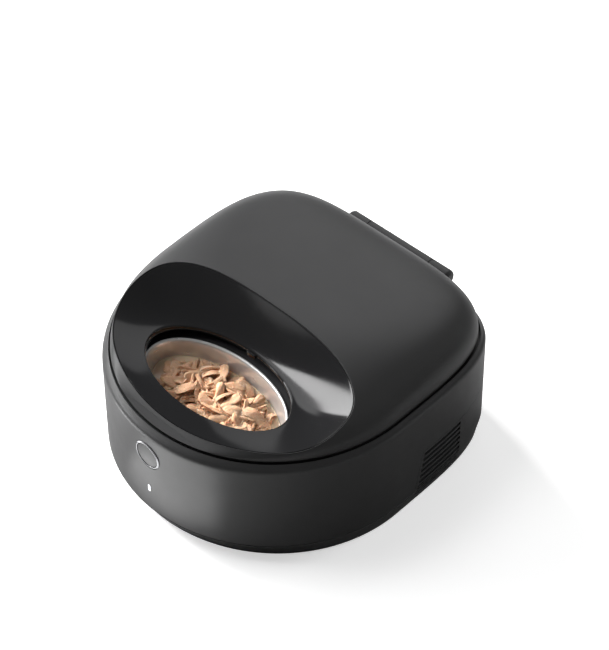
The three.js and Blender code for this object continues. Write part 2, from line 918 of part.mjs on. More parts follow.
function hingeBracket(side) {
  const inner = tongueHalfLength + hingeSideGap;
  const pinEnd = hingeHalfLength - hingePinInset + shaftGap;
  const front = bodyOutline.rear + hingeFootGap;
  const roundShares = [[1, 0], [0.92, 0.38], [0.6, 0.8], [0, 1]];
  const barrel = roundShares.map(([out, along]) => [
    hingeRadius - hingeRounding * (1 - out),
    hingeHalfLength - hingeRounding * (1 - along),
  ]);
  const end = turned([[hingeRadius, inner], ...barrel], false, roundSideCount);
  const foot = hingeHalfLength - hingeRounding;
  return cut(
    join(
      end.rotateY((side * Math.PI) / 2).translate(0, hingeY, hingeZ),
      block(Math.min(side * inner, side * foot), Math.max(side * inner, side * foot), front,
        hingeY + hingeRadius, hingeZ - hingeFootDrop, hingeZ),
    ),
    rodX(hingePinRadius + shaftGap, -pinEnd, pinEnd, hingeY, hingeZ, smallSideCount),
  );
}

// Tray with one hole for each bowl, a finger knob and a keyed socket for the drive.
function foodTray() {
  const socketTop = trayUnder - hubRoof;
  const profile = [
    [hubRadius - knobTopInset, trayTop + knobRise],
    [hubRadius, trayTop + knobRise - knobChamfer],
    [hubRadius, trayTop],
    [trayRadius, trayTop],
    [trayRadius, trayTop - traySkirtHeight],
    [trayRadius - traySkirtWall, trayTop - traySkirtHeight],
    [trayRadius - traySkirtWall, trayUnder],
    [hubRadius, trayUnder],
    [hubRadius, hubFoot],
    [hubBore, hubFoot],
    [hubBore, socketTop],
  ];
  const holes = bowlAngles.map((angle) => bowlRings(angle, [[bowlRimWidth - restGap, -overrun],
    [bowlRimWidth - restGap, overrun]].map(([inset, lift]) => [inset, trayTop + lift]), false));
  return cut(turned(profile, false, traySideCount, 0, wellBack), ...holes,
    ...keys(hubBore + hubKeyReach, hubKeyWidth, hubFoot - overrun, hubFoot + hubSocketDepth));
}

// Radial bars round the well's centre line.
function keys(reach, width, low, high) {
  const bars = [];
  for (let index = 0; index < keyCount; index += 1) {
    const bar = block(0, reach, -width / 2, width / 2, low, high);
    bars.push(bar.rotateZ((2 * Math.PI * index) / keyCount).translate(0, wellBack, 0));
  }
  return bars;
}

// A stack of ellipses for one bowl, each given as [inset, height].
function bowlRings(angle, profile, joined) {
  const centre = [bowlOrbit * Math.sin(angle), wellBack - bowlOrbit * Math.cos(angle)];
  const rings = profile.map(([inset, height]) => {
    const points = [];
    for (let index = 0; index < bowlSideCount; index += 1) {
      const turn = (2 * Math.PI * index) / bowlSideCount;
      const along = (bowlHalfLength - inset) * Math.cos(turn);
      const across = (bowlHalfDepth - inset) * Math.sin(turn);
      points.push([
        centre[0] + along * Math.cos(angle) - across * Math.sin(angle),
        centre[1] + along * Math.sin(angle) + across * Math.cos(angle),
        height,
      ]);
    }
    return points;
  });
  return skin(rings, joined);
}

// Inner face of a bowl from its floor up, as [inset, height].
function bowlInside() {
  const innerShares = [[1, 1], [0.5, 0.86], [0.3, 0.4], [0.2, 0.08]];
  return innerShares.map(([lean, sink]) => [lean * bowlLean, rimTop - sink * bowlDepth]);
}

// A serving in the front bowl, level at its edge and heaped towards its middle.
function foodServing() {
  const heapShares = [[0.25, 0.4], [0.5, 0.75], [0.75, 1]];
  const inside = bowlInside().slice(0, 3)
    .map(([inset, height]) => [inset + foodGap, height + foodGap]);
  const [edge, level] = inside[inside.length - 1];
  const heap = heapShares.map(([along, up]) => [
    edge + along * (bowlHalfDepth - edge),
    level + up * foodHeap,
  ]);
  return bowlRings(bowlAngles[0], [...inside, ...heap], false);
}

function foodBowl(angle) {
  const rest = trayTop + restGap;
  const inner = bowlInside();
  const outer = inner.map(([inset, height]) => [inset - bowlWall, height - bowlWall]);
  const rimMiddle = rest + bowlRimHeight / 2;
  return bowlRings(angle, [
    ...inner,
    [bowlRimWidth / 2, rimTop],
    [bowlWall / 2, rimTop - bowlWall / 2],
    [0, rimMiddle],
    [bowlRimWidth, rest],
    ...outer.slice(0, 3).reverse(),
  ], false);
}

// Teeth with straight flanks, thinner than half the pitch so that they mesh freely.
function gearOutline(teeth, start) {
  const pitchRadius = (gearModule * teeth) / 2;
  const toothShares = [[-1.3, -1.15], [-0.45, toothTipShare], [0.45, toothTipShare], [1.3, -1.15]];
  const points = [];
  for (let index = 0; index < teeth; index += 1) {
    for (const [across, out] of toothShares) {
      const angle = start + (2 * Math.PI * index) / teeth + (across * Math.PI * 0.42) / teeth;
      const radius = pitchRadius + out * gearModule;
      points.push([radius * Math.cos(angle), radius * Math.sin(angle)]);
    }
  }
  return points;
}

const bowlAngles = Array.from({ length: bowlCount }, (_, index) => 2 * bowlTurn * index);
const hubFoot = turntableTop + restGap;
const gearTop = floorUnder - bearingDrop - restGap;
const gearUnder = gearTop - gearWidth;
const pinionAngle = (225 * Math.PI) / 180;
const pinionRun = (gearModule * (gearTeethCount + pinionTeethCount)) / 2;
const pinionX = pinionRun * Math.cos(pinionAngle);
const pinionY = wellBack + pinionRun * Math.sin(pinionAngle);
const spindleTop = turntableTop + spindleHubCover;

add("base_housing", "charcoal", baseHousing());
add("bottom_cover", "charcoal", bottomCover());
add("rear_grille", "gloss", rearGrille());
footPlaces().forEach(([x, y], index) => {
  add(`foot_${index + 1}`, "rubber", disc(footRadius, 0, footHeight, x, y));
});
screwPlaces().forEach(([x, y], index) => {
  const head = coverBottom + screwHeadHeight;
  add(`cover_screw_${index + 1}`, "steel", turned([
    [screwHeadRadius, coverBottom],
    [screwHeadRadius, head],
    [screwShankRadius, head],
    [screwShankRadius, coverBottom + screwLength],
  ], false, smallSideCount, x, y));
});
add("well_liner", "liner", wellLiner());
add("well_insulation", "foam", tube(wellOuter + wellFoamGap,
  wellOuter + wellFoamGap + wellFoamThickness, floorUnder + wellFoamFoot,
  deckUnder - seatThickness - wellFoamFoot, 0, wellBack, traySideCount));

// Button, light and panel board in the front wall.
const bezelBack = buttonFace + bezelDepth;
const bezelBore = bezelRadius - bezelWall;
add("button_bezel", "chrome", cut(
  rodY(bezelRadius, buttonFace - bezelProud, bezelBack, 0, buttonHeight),
  rodY(bezelBore, buttonFace - bezelProud - overrun, bezelBack + overrun, 0, buttonHeight),
));
const capBack = bezelBack + restGap;
const flangeBack = capBack + buttonFlangeThickness;
add("power_button", "charcoal", join(
  rodY(bezelBore - restGap, buttonFace - bezelProud + buttonRecess, flangeBack, 0, buttonHeight),
  rodY(bezelBore + buttonFlange, capBack, flangeBack, 0, buttonHeight),
));
const switchFront = flangeBack + buttonTravel + restGap;
const panelFront = switchFront + switchDepth + restGap;
add("tact_switch", "rubber", block(-switchSize / 2, switchSize / 2, switchFront,
  switchFront + switchDepth, buttonHeight - switchSize / 2, buttonHeight + switchSize / 2));
add("control_board", "board", block(-panelBoardHalfWidth, panelBoardHalfWidth, panelFront,
  panelFront + boardThickness, lightHeight - panelBoardMargin, buttonHeight + panelBoardMargin));
add("status_light", "light", pill(0, lightFace - lightProud, panelFront - restGap));

// Main board and power inlet.
const boardLow = coverTop + boardRailHeight + restGap;
const boardTop = boardLow + boardThickness;
const boardInside = boardLow + boardThickness / 2;
add("main_board", "board", join(
  block(mainBoardSide - mainBoardHalfWidth, mainBoardSide + mainBoardHalfWidth,
    -mainBoardFront - mainBoardHalfDepth, -mainBoardFront + mainBoardHalfDepth,
    boardLow, boardTop),
  block(mainBoardSide - chipSize, mainBoardSide, -mainBoardFront, -mainBoardFront + chipSize,
    boardInside, boardTop + chipHeight),
  disc(coilRadius, boardInside, boardTop + coilHeight, mainBoardSide + chipSize,
    -mainBoardFront - chipSize / 2, smallSideCount),
  disc(coilRadius, boardInside, boardTop + coilHeight, mainBoardSide + chipSize,
    -mainBoardFront + chipSize, smallSideCount),
));
const inletFace = bodyOutline.rear + leanAt(inletHeight) + inletProud;
const inletFloor = inletFace - inletDepth + inletBore;
add("power_inlet", "rubber", join(
  cut(
    rodY(inletRadius, inletFace - inletDepth, inletFace, inletSide, inletHeight),
    rodY(inletBore, inletFloor, inletFace + overrun, inletSide, inletHeight, smallSideCount),
  ),
  rodY(inletPin, inletFloor - inletPin, inletFace - inletPin, inletSide, inletHeight,
    smallSideCount),
));

// Drive of the turntable.
add("drive_motor", "aluminium", disc(motorRadius, standHeight,
  gearUnder - pinionHub, pinionX, pinionY));
const pinionTurn = pinionAngle + Math.PI + Math.PI / pinionTeethCount;
add("motor_pinion", "nylon", join(
  prism(gearOutline(pinionTeethCount, pinionTurn), gearUnder, gearTop)
    .translate(pinionX, pinionY, 0),
  disc(spindleRadius, gearUnder - pinionHub + restGap, gearUnder + pinionHub, pinionX, pinionY,
    smallSideCount),
));
add("spindle_gear", "nylon", cut(
  prism(gearOutline(gearTeethCount, pinionAngle), gearUnder, gearTop)
    .translate(0, wellBack, 0),
  disc(spindleRadius + shaftGap, gearUnder - overrun, gearTop + overrun, 0, wellBack,
    smallSideCount),
));
add("spindle_seat", "nylon", cut(
  disc(seatBushRadius, standHeight, standHeight + seatBushHeight, 0, wellBack),
  disc(spindleRadius + shaftGap, coverTop + seatBushHeight / 2,
    standHeight + seatBushHeight + overrun, 0, wellBack, smallSideCount),
));
add("drive_spindle", "steel", disc(spindleRadius, standHeight + seatBushHeight / 2, spindleTop,
  0, wellBack, smallSideCount));
add("spindle_bearing", "nylon", turned([
  [spindleRadius + shaftGap, floorUnder - bearingDrop],
  [bearingRadius, floorUnder - bearingDrop],
  [bearingRadius, floorTop + restGap],
  [bearingFlangeRadius, floorTop + restGap],
  [bearingFlangeRadius, floorTop + restGap + bearingFlangeHeight],
  [spindleRadius + shaftGap, floorTop + restGap + bearingFlangeHeight],
], true, roundSideCount, 0, wellBack));
const keyTop = turntableTop + couplerHeight - couplerKeyDrop;
add("turntable", "liner", cut(
  join(
    disc(turntableRadius, turntableUnder, turntableTop, 0, wellBack, traySideCount),
    disc(hubBore - couplerKeyGap, turntableTop - turntableThickness / 2,
      turntableTop + couplerHeight, 0, wellBack, traySideCount),
    ...keys(hubBore + hubKeyReach - couplerKeyGap, hubKeyWidth - 2 * couplerKeyGap,
      turntableTop - turntableThickness / 2, keyTop),
  ),
  disc(spindleRadius + shaftGap, turntableUnder - overrun, spindleTop + shaftGap, 0, wellBack,
    smallSideCount),
));
add("food_tray", "liner", foodTray());
bowlAngles.forEach((angle, index) => {
  add(`food_bowl_${index + 1}`, "steel", foodBowl(angle));
});
add("food_serving", "food", foodServing());

// Cooling stack under the well's rear half.
const coldLow = floorTop + restGap - coldPlateThickness;
add("cold_plate", "aluminium", block(-coldPlateHalfWidth, coldPlateHalfWidth,
  coldMiddle - coldPlateHalfDepth, coldMiddle + coldPlateHalfDepth, coldLow,
  coldLow + coldPlateThickness));
const peltierTop = coldLow - restGap;
const sinkTop = peltierTop - peltierThickness - restGap;
add("peltier_module", "foam", block(-peltierHalfSize, peltierHalfSize,
  coldMiddle - peltierHalfSize, coldMiddle + peltierHalfSize, peltierTop - peltierThickness,
  peltierTop));
function heatSink() {
  const finFoot = standHeight + finLift;
  const baseUnder = sinkTop - sinkBase;
  const points = [[-sinkHalfWidth, sinkTop], [-sinkHalfWidth, baseUnder]];
  for (let index = 0; index < finCount; index += 1) {
    const middle = (index - (finCount - 1) / 2) * finPitch;
    const [low, high] = [middle - finThickness / 2, middle + finThickness / 2];
    points.push([low, baseUnder], [low, finFoot], [high, finFoot], [high, baseUnder]);
  }
  points.push([sinkHalfWidth, baseUnder], [sinkHalfWidth, sinkTop]);
  const comb = prism(points, -coldMiddle - sinkHalfDepth, -coldMiddle + sinkHalfDepth);
  return comb.rotateX(Math.PI / 2);
}
add("heat_sink", "aluminium", heatSink());
const fanFront = coldMiddle + sinkHalfDepth + fanSinkGap;
const fanBack = fanFront + fanDepth;
const fanMiddle = standHeight + fanHalfSize;
const fanBore = fanHalfSize - fanWall;
const spokes = [0, 1, 2].map((index) => {
  const bar = block(-fanBore - fanWall / 2, fanBore + fanWall / 2, fanBack - fanSpokeThickness,
    fanBack, -fanSpokeWidth / 2, fanSpokeWidth / 2);
  return bar.rotateY((Math.PI * index) / 3).translate(0, 0, fanMiddle);
});
add("fan_frame", "liner", join(
  cut(
    block(-fanHalfSize, fanHalfSize, fanFront, fanBack, standHeight, standHeight + 2 * fanHalfSize),
    rodY(fanBore, fanFront - overrun, fanBack + overrun, 0, fanMiddle),
  ),
  rodY(fanHubRadius, fanBack - fanSpokeThickness, fanBack, 0, fanMiddle),
  ...spokes,
));
const rotorBack = fanBack - fanSpokeThickness - restGap;
const rotorMiddle = (fanFront + restGap + rotorBack) / 2;
const blades = [];
for (let index = 0; index < bladeCount; index += 1) {
  const blade = block(0, fanBore - fanBladeGap, -fanBladeThickness / 2, fanBladeThickness / 2,
    -fanBladeWidth / 2, fanBladeWidth / 2);
  blade.rotateX((fanBladeDegrees * Math.PI) / 180).rotateY((2 * Math.PI * index) / bladeCount);
  blades.push(blade.translate(0, rotorMiddle, fanMiddle));
}
add("fan_rotor", "rubber", join(
  rodY(fanHubRadius, fanFront + restGap, rotorBack, 0, fanMiddle),
  ...blades,
));

// Lid and hinge.
add("lid_shell", "charcoal", lidShell());
add("lid_scoop", "gloss", lidScoop());
add("lid_liner", "liner", lidLiner());
const gasketOuter = lidOutline.half - gasketInset - gasketWidth / 2;
add("lid_gasket", "rubber", tube(gasketOuter - gasketWidth, gasketOuter, deckTop + restGap,
  linerUnder - restGap, 0, wellBack, traySideCount));
add("lid_insulation", "foam", lidInsulation());
const lipRear = -openingPlace + openingOutline.rear;
const sensorTop = linerUnder + sensorHeight;
add("food_sensor", "gloss", block(-sensorHalfWidth, sensorHalfWidth,
  lipRear - restGap - sensorDepth, lipRear - restGap, sensorTop - sensorHeight, sensorTop));
add("hinge_tongue", "charcoal", hingeTongue());
add("hinge_bracket_left", "charcoal", hingeBracket(-1));
add("hinge_bracket_right", "charcoal", hingeBracket(1));
const pinHalf = hingeHalfLength - hingePinInset;
add("hinge_pin", "steel", rodX(hingePinRadius, -pinHalf, pinHalf, hingeY, hingeZ,
  smallSideCount));

// The middle of the whole, hinge included, stands over the origin.
root.position.y = (bodyOutline.front + wallFlare - hingeY - hingeRadius) / 2;

export default root;
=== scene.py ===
import json
import math
import random

import bpy
import numpy as np
from mathutils import Matrix, Vector


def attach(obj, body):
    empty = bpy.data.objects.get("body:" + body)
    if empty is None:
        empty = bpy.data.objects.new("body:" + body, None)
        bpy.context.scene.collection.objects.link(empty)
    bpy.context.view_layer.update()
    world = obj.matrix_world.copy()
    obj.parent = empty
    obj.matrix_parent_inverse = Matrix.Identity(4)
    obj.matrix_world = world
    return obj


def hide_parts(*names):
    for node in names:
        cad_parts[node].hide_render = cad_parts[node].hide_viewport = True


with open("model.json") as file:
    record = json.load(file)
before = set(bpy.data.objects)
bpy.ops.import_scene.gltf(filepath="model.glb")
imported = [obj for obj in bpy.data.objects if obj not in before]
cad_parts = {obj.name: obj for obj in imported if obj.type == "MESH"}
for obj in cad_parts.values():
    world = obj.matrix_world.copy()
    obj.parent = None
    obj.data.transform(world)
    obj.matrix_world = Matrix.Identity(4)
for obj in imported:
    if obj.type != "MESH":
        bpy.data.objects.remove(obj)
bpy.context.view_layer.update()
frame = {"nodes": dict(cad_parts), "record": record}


random.seed(11)

# Lengths are in millimetres, x and y from the body's plan centre and z from the floor.
MM = 0.001
PI = math.pi

# The plan centre lies this far along y from the frame's origin.
SHIFT = -8.75

# Points round every outline, how finely they are found, and how far out they are looked for.
STATIONS = 320
FINE_STEPS = 4001
HALVINGS = 46
FARTHEST = 3.0

# Plan outlines: half width, reach to front and rear, power of each end, middle along y.
BODY = dict(half=157.0, front=160.0, rear=168.0, fp=2.0, rp=4.3, mid=0.0)
LID = dict(half=150.6, front=150.6, rear=161.6, fp=2.0, rp=4.3, mid=0.0)
FOOT = dict(half=157.3, front=154.0, rear=168.0, fp=2.0, rp=4.3, mid=0.0)
SCOOP = dict(half=131.0, front=87.0, rear=51.0, fp=2.0, rp=2.7, mid=-52.0)
OPENING = dict(half=81.4, front=45.2, rear=45.2, fp=2.0, rp=2.0, mid=-73.3)
EYE = (0.0, OPENING["mid"])
WELL_BACK = 12.0
WELL = (0.0, WELL_BACK)

# Heights, and how far the wall leans out at its foot.
FLARE = 2.5
SHOULDER = 115.5
SEAM = 21.9
SEAM_SLOPE = 0.02
DECK = 119.5
LID_EDGE = 126.0
SKIRT = 121.2
LINER_UNDER = 120.9
OPENING_Z = 128.0
OPENING_SLOPE = 0.06
BUTTON_Z = 93.5
LIGHT_Z = 49.3

# Thicknesses, edges and gaps.
WALL = 2.8
SHELL = 2.4
CHAMFER = 0.35
SEAM_GAP = 0.4
VENT_GAP = 0.3
HINGE_GAP = 0.4

# Dome of the lid, lower towards the nose and squarer towards the rear.
DOME_RISE = 41.9
REAR_DROP = 4.9
NOSE_Y = -43.4
NOSE_REACH = 98.5
NOSE_POWER = 2.235
SQUARE_Y = -40.0
SQUARE_REACH = 145.8
ROUND_POWER = 2.32
SQUARE_POWER = 7.29
DOME_POWER = 0.416

# Edge of the panel that wraps round the rear, and the curve by which it rises there.
VENT_LOW_Y = 18.0
VENT_HIGH_Y = 30.5
VENT_TOP = 65.0
VENT_RISE = 27.0
VENT_RISE_Y = 95.0
VENT_RISE_REACH = 73.0
VENT_CORNER = 6.0
VENT_CURVE = ((0, 0), (0.3, 0.08), (0.6, 0.36), (0.85, 0.75), (1, 1))

# Hinge barrel, its pin's bore, and the lengths of the lid's middle piece and the two ends.
HINGE_Y = 171.5
HINGE_Z = 123.1
HINGE_R = 8.5
HINGE_EDGE = 0.6
PIN_BORE = 2.2
TONGUE_HALF = 39.3
BRACKET_IN = 39.7
BRACKET_OUT = 60.5
BRACKET_ROUND = 4.5

# Bowls: circle of their centres, half length and half width at the rim, and their places.
BOWL_RING = 88.99
BOWL_LONG = 82.0
BOWL_WIDE = 45.5
BOWL_ANGLES = (0.0, 2 * PI / 3, 4 * PI / 3)

# Cutters through the whole width or front reach this far.
FAR = 170.0

# Angles in degrees from which an edge stays sharp or is rounded.
SHARP = 38.0
BEVEL_ANGLE = 30.0


def grown(outline, amount):
    return dict(outline, half=outline["half"] + amount, front=outline["front"] + amount,
                rear=outline["rear"] + amount)


def circle(radius):
    return dict(half=radius, front=radius, rear=radius, fp=2.0, rp=2.0, mid=WELL_BACK)


def gauge(outline, x, y):
    away = y - outline["mid"]
    front = away < 0
    reach = np.where(front, outline["front"], outline["rear"])
    power = np.where(front, outline["fp"], outline["rp"])
    total = np.abs(x / outline["half"]) ** power + np.abs(away / reach) ** power
    return total ** (1 / power)


def body_stations(count, even=0.65):
    places = []
    for side in (1, -1):
        reach = BODY["rear"] if side > 0 else BODY["front"]
        power = 2 / (BODY["rp"] if side > 0 else BODY["fp"])
        angle = np.linspace(0, PI, FINE_STEPS)
        across = side * np.cos(angle)
        x = BODY["half"] * np.sign(across) * np.abs(across) ** power
        y = side * reach * np.abs(np.sin(angle)) ** power
        step = np.hypot(np.diff(x), np.diff(y))
        heading = np.unwrap(np.arctan2(np.diff(y), np.diff(x)))
        turn = np.abs(np.diff(heading, prepend=heading[0]))
        progress = even * np.cumsum(step) / step.sum() + (1 - even) * np.cumsum(turn) / turn.sum()
        progress = np.concatenate([[0], progress])
        wanted = np.arange(count // 2) / (count // 2)
        places += list(zip(np.interp(wanted, progress, x), np.interp(wanted, progress, y)))
    return np.array(places)


ROUND = body_stations(STATIONS)


def meet(outline, eye=(0.0, 0.0)):
    """Where rays from the eye through the stations cross an outline."""
    eye = np.array(eye)
    near = np.zeros(len(ROUND))
    far = np.full(len(ROUND), FARTHEST)
    for _ in range(HALVINGS):
        middle = (near + far) / 2
        at = eye + (ROUND - eye) * middle[:, None]
        inside = gauge(outline, at[:, 0], at[:, 1]) < 1
        near = np.where(inside, middle, near)
        far = np.where(inside, far, middle)
    return eye + (ROUND - eye) * far[:, None]


def ring(outline, height, eye=(0.0, 0.0)):
    """One row of points round an outline, at a height or at a function of x and y."""
    at = meet(outline, eye)
    z = height(at[:, 0], at[:, 1]) if callable(height) else np.full(len(at), float(height))
    return np.column_stack([at, z])


def smooth(value):
    part = np.clip(value, 0, 1)
    return part * part * (3 - 2 * part)


def dome(x, y, sunk=0.0):
    """Height of the lid's top, or of a like surface sunk below it."""
    edge = np.minimum(gauge(grown(LID, -sunk), x, y), 1)
    nose = np.clip((NOSE_Y - y) / NOSE_REACH, 0, 1) ** NOSE_POWER
    rise = DOME_RISE * (1 - nose) - REAR_DROP * smooth(y / LID["rear"])
    square = smooth((y - SQUARE_Y) / SQUARE_REACH)
    power = ROUND_POWER + (SQUARE_POWER - ROUND_POWER) * square
    return LID_EDGE - sunk + rise * (1 - edge ** power) ** DOME_POWER


def seam(x, y):
    return SEAM - SEAM_SLOPE * (y + BODY["front"])


def lean(height):
    return FLARE * (SHOULDER - height) / (SHOULDER - SEAM)


def front_face(height):
    return -(BODY["front"] + lean(height))


def opening_height(y):
    return OPENING_Z - OPENING_SLOPE * (y - OPENING["mid"])


# Meshes.


def mesh_object(name, points, faces, sharp=SHARP, material=None):
    points = np.array(points, float) * MM
    points[:, 1] += SHIFT * MM
    mesh = bpy.data.meshes.new(name)
    mesh.from_pydata(points.tolist(), [], faces)
    mesh.validate()
    obj = bpy.data.objects.new(name, mesh)
    bpy.context.scene.collection.objects.link(obj)
    turn_outward(mesh)
    shade(mesh, sharp)
    if material:
        mesh.materials.append(material)
    return obj


def turn_outward(mesh):
    mesh.calc_loop_triangles()
    volume = 0.0
    for tri in mesh.loop_triangles:
        a, b, c = (mesh.vertices[i].co for i in tri.vertices)
        volume += a.dot(b.cross(c))
    if volume < 0:
        mesh.flip_normals()


def shade(mesh, sharp):
    mesh.polygons.foreach_set("use_smooth", [True] * len(mesh.polygons))
    mesh.set_sharp_from_angle(angle=math.radians(sharp))
    mesh.update()


def skin_faces(rows, around, joined):
    faces = []
    for row in range(rows if joined else rows - 1):
        after = (row + 1) % rows
        for i in range(around):
            j = (i + 1) % around
            faces.append((row * around + i, row * around + j, after * around + j,
                          after * around + i))
    if not joined:
        faces.append(tuple(range(around))[::-1])
        faces.append(tuple((rows - 1) * around + i for i in range(around)))
    return faces


def skin(name, rings, joined=True, sharp=SHARP, material=None):
    rows, around = len(rings), len(rings[0])
    points = np.concatenate(rings)
    return mesh_object(name, points, skin_faces(rows, around, joined), sharp, material)


def lathe(name, profile, axis, centre, joined, sides):
    """A body turned about a main axis, from a profile of (radius, place along the axis)."""
    angle = np.arange(sides) * 2 * PI / sides
    rings = []
    for radius, along in profile:
        at = [centre[0] + radius * np.cos(angle), centre[1] + radius * np.sin(angle)]
        at.insert(axis, np.full(sides, float(along)))
        rings.append(np.column_stack(at))
    return skin(name, rings, joined)


def turned(name, profile, joined=False, sides=96, centre=WELL):
    return lathe(name, profile, 2, centre, joined, sides)


def turned_y(name, profile, x, z, joined=False, sides=96):
    return lathe(name, profile, 1, (x, z), joined, sides)


def turned_x(name, profile, y, z, sides=96):
    return lathe(name, profile, 0, (y, z), False, sides)


def block(name, x0, x1, y0, y1, z0, z1):
    points = [(x, y, z) for x in (x0, x1) for y in (y0, y1) for z in (z0, z1)]
    faces = [(0, 1, 3, 2), (4, 6, 7, 5), (0, 4, 5, 1), (2, 3, 7, 6), (0, 2, 6, 4), (1, 5, 7, 3)]
    return mesh_object(name, points, faces)


def prism_x(name, outline, x0, x1):
    """A prism along x over an outline of (y, z)."""
    rings = [np.array([(x, y, z) for y, z in outline]) for x in (x0, x1)]
    return skin(name, rings, False)


def apply_modifiers(obj):
    graph = bpy.context.evaluated_depsgraph_get()
    made = bpy.data.meshes.new_from_object(obj.evaluated_get(graph))
    old = obj.data
    obj.modifiers.clear()
    obj.data = made
    bpy.data.meshes.remove(old)


def carve(obj, cutters, how="DIFFERENCE", sharp=SHARP):
    for cutter in cutters:
        step = obj.modifiers.new("cut", "BOOLEAN")
        step.operation = how
        step.solver = "MANIFOLD"
        step.object = cutter
        bpy.context.view_layer.update()
        apply_modifiers(obj)
    for cutter in cutters:
        spent = cutter.data
        bpy.data.objects.remove(cutter)
        bpy.data.meshes.remove(spent)
    shade(obj.data, sharp)
    return obj


def bevel(obj, width, segments):
    step = obj.modifiers.new("round", "BEVEL")
    step.width = width * MM
    step.segments = segments
    step.limit_method = "ANGLE"
    step.angle_limit = math.radians(BEVEL_ANGLE)
    step.use_clamp_overlap = True
    bpy.context.view_layer.update()
    apply_modifiers(obj)
    shade(obj.data, SHARP)
    return obj


# Materials. The depths of grain and of scatter are in metres.


class Shader:
    """A small helper round one material's node tree."""

    def __init__(self, name):
        self.material = bpy.data.materials.new(name)
        self.material.use_nodes = True
        self.tree = self.material.node_tree
        self.main = self.tree.nodes["Principled BSDF"]
        self.place = self.node("ShaderNodeTexCoord").outputs["Object"]

    def node(self, kind, **values):
        made = self.tree.nodes.new(kind)
        for key, value in values.items():
            setattr(made, key, value)
        return made

    def link(self, source, target):
        self.tree.links.new(source, target)

    def noise(self, scale, detail=3.0, rough=0.5, stretch=None):
        tex = self.node("ShaderNodeTexNoise")
        tex.inputs["Scale"].default_value = scale
        tex.inputs["Detail"].default_value = detail
        tex.inputs["Roughness"].default_value = rough
        source = self.place
        if stretch:
            mapping = self.node("ShaderNodeMapping")
            mapping.inputs["Scale"].default_value = stretch
            self.link(source, mapping.inputs["Vector"])
            source = mapping.outputs["Vector"]
        self.link(source, tex.inputs["Vector"])
        return tex.outputs["Fac"]

    def spread(self, source, low, high, start=0.3, end=0.7):
        made = self.node("ShaderNodeMapRange")
        made.inputs["From Min"].default_value = start
        made.inputs["From Max"].default_value = end
        made.inputs["To Min"].default_value = low
        made.inputs["To Max"].default_value = high
        self.link(source, made.inputs["Value"])
        return made.outputs["Result"]

    def colour(self, source, first, second):
        made = self.node("ShaderNodeMix", data_type="RGBA")
        made.inputs["A"].default_value = (*first, 1)
        made.inputs["B"].default_value = (*second, 1)
        self.link(source, made.inputs["Factor"])
        self.link(made.outputs["Result"], self.main.inputs["Base Color"])

    def roughness(self, source, low, high):
        self.link(self.spread(source, low, high), self.main.inputs["Roughness"])

    def bump(self, source, strength, distance):
        made = self.node("ShaderNodeBump")
        made.inputs["Strength"].default_value = strength
        made.inputs["Distance"].default_value = distance
        self.link(source, made.inputs["Height"])
        self.link(made.outputs["Normal"], self.main.inputs["Normal"])

    def set(self, **values):
        for key, value in values.items():
            self.main.inputs[key.replace("_", " ")].default_value = value


def tinted(colour, share):
    return tuple(min(c * share, 1.0) for c in colour)


def plastic(name, colour, rough, grain=0.12, spread=0.06, scale=2600.0):
    """Moulded plastic with faint patches, marks of handling and a fine grain."""
    s = Shader(name)
    s.colour(s.noise(14.0, detail=4.0), tinted(colour, 0.86), tinted(colour, 1.12))
    s.roughness(s.noise(38.0, detail=6.0, rough=0.62), rough - spread, rough + spread)
    s.bump(s.noise(scale, detail=2.0), strength=grain, distance=0.0002)
    return s.material


def metal(name, colour, rough, spread, stretch=None, share=1.0):
    """Worn metal, its marks drawn out along one axis where a stretch is given."""
    s = Shader(name)
    s.set(Metallic=share)
    s.colour(s.noise(22.0, detail=4.0), tinted(colour, 0.9), colour)
    worn = s.noise(60.0, detail=5.0, rough=0.6, stretch=stretch)
    s.roughness(worn, rough - spread, rough + spread)
    s.bump(s.noise(900.0, detail=2.0, stretch=stretch), strength=0.05, distance=0.0001)
    return s.material


def foam_material(name, colour):
    s = Shader(name)
    cells = s.node("ShaderNodeTexVoronoi")
    cells.inputs["Scale"].default_value = 420.0
    s.link(s.place, cells.inputs["Vector"])
    s.colour(cells.outputs["Distance"], tinted(colour, 0.82), colour)
    s.roughness(s.noise(50.0), 0.82, 0.95)
    s.bump(cells.outputs["Distance"], strength=0.4, distance=0.0006)
    return s.material


def board_material(name, colour):
    s = Shader(name)
    tracks = s.node("ShaderNodeTexBrick")
    tracks.inputs["Scale"].default_value = 160.0
    s.link(s.place, tracks.inputs["Vector"])
    s.colour(tracks.outputs["Fac"], tinted(colour, 0.7), colour)
    s.roughness(s.noise(70.0), 0.35, 0.5)
    s.bump(tracks.outputs["Fac"], strength=0.2, distance=0.0001)
    return s.material


def light_material(name):
    s = Shader(name)
    s.set(Base_Color=(0.9, 0.94, 1.0, 1), Emission_Color=(0.92, 0.96, 1.0, 1))
    s.link(s.spread(s.noise(300.0), 0.35, 0.45), s.main.inputs["Emission Strength"])
    s.roughness(s.noise(120.0), 0.2, 0.3)
    return s.material


def food_material():
    s = Shader("wet_food")
    s.colour(s.noise(120.0, detail=5.0, rough=0.6), (0.62, 0.32, 0.17), (0.88, 0.58, 0.39))
    s.roughness(s.noise(200.0, detail=4.0), 0.22, 0.45)
    s.bump(s.noise(620.0, detail=6.0, rough=0.65), strength=0.8, distance=0.0014)
    s.set(Subsurface_Weight=0.25, Subsurface_Scale=0.004, Specular_IOR_Level=0.55)
    s.main.inputs["Subsurface Radius"].default_value = (1.0, 0.45, 0.25)
    return s.material


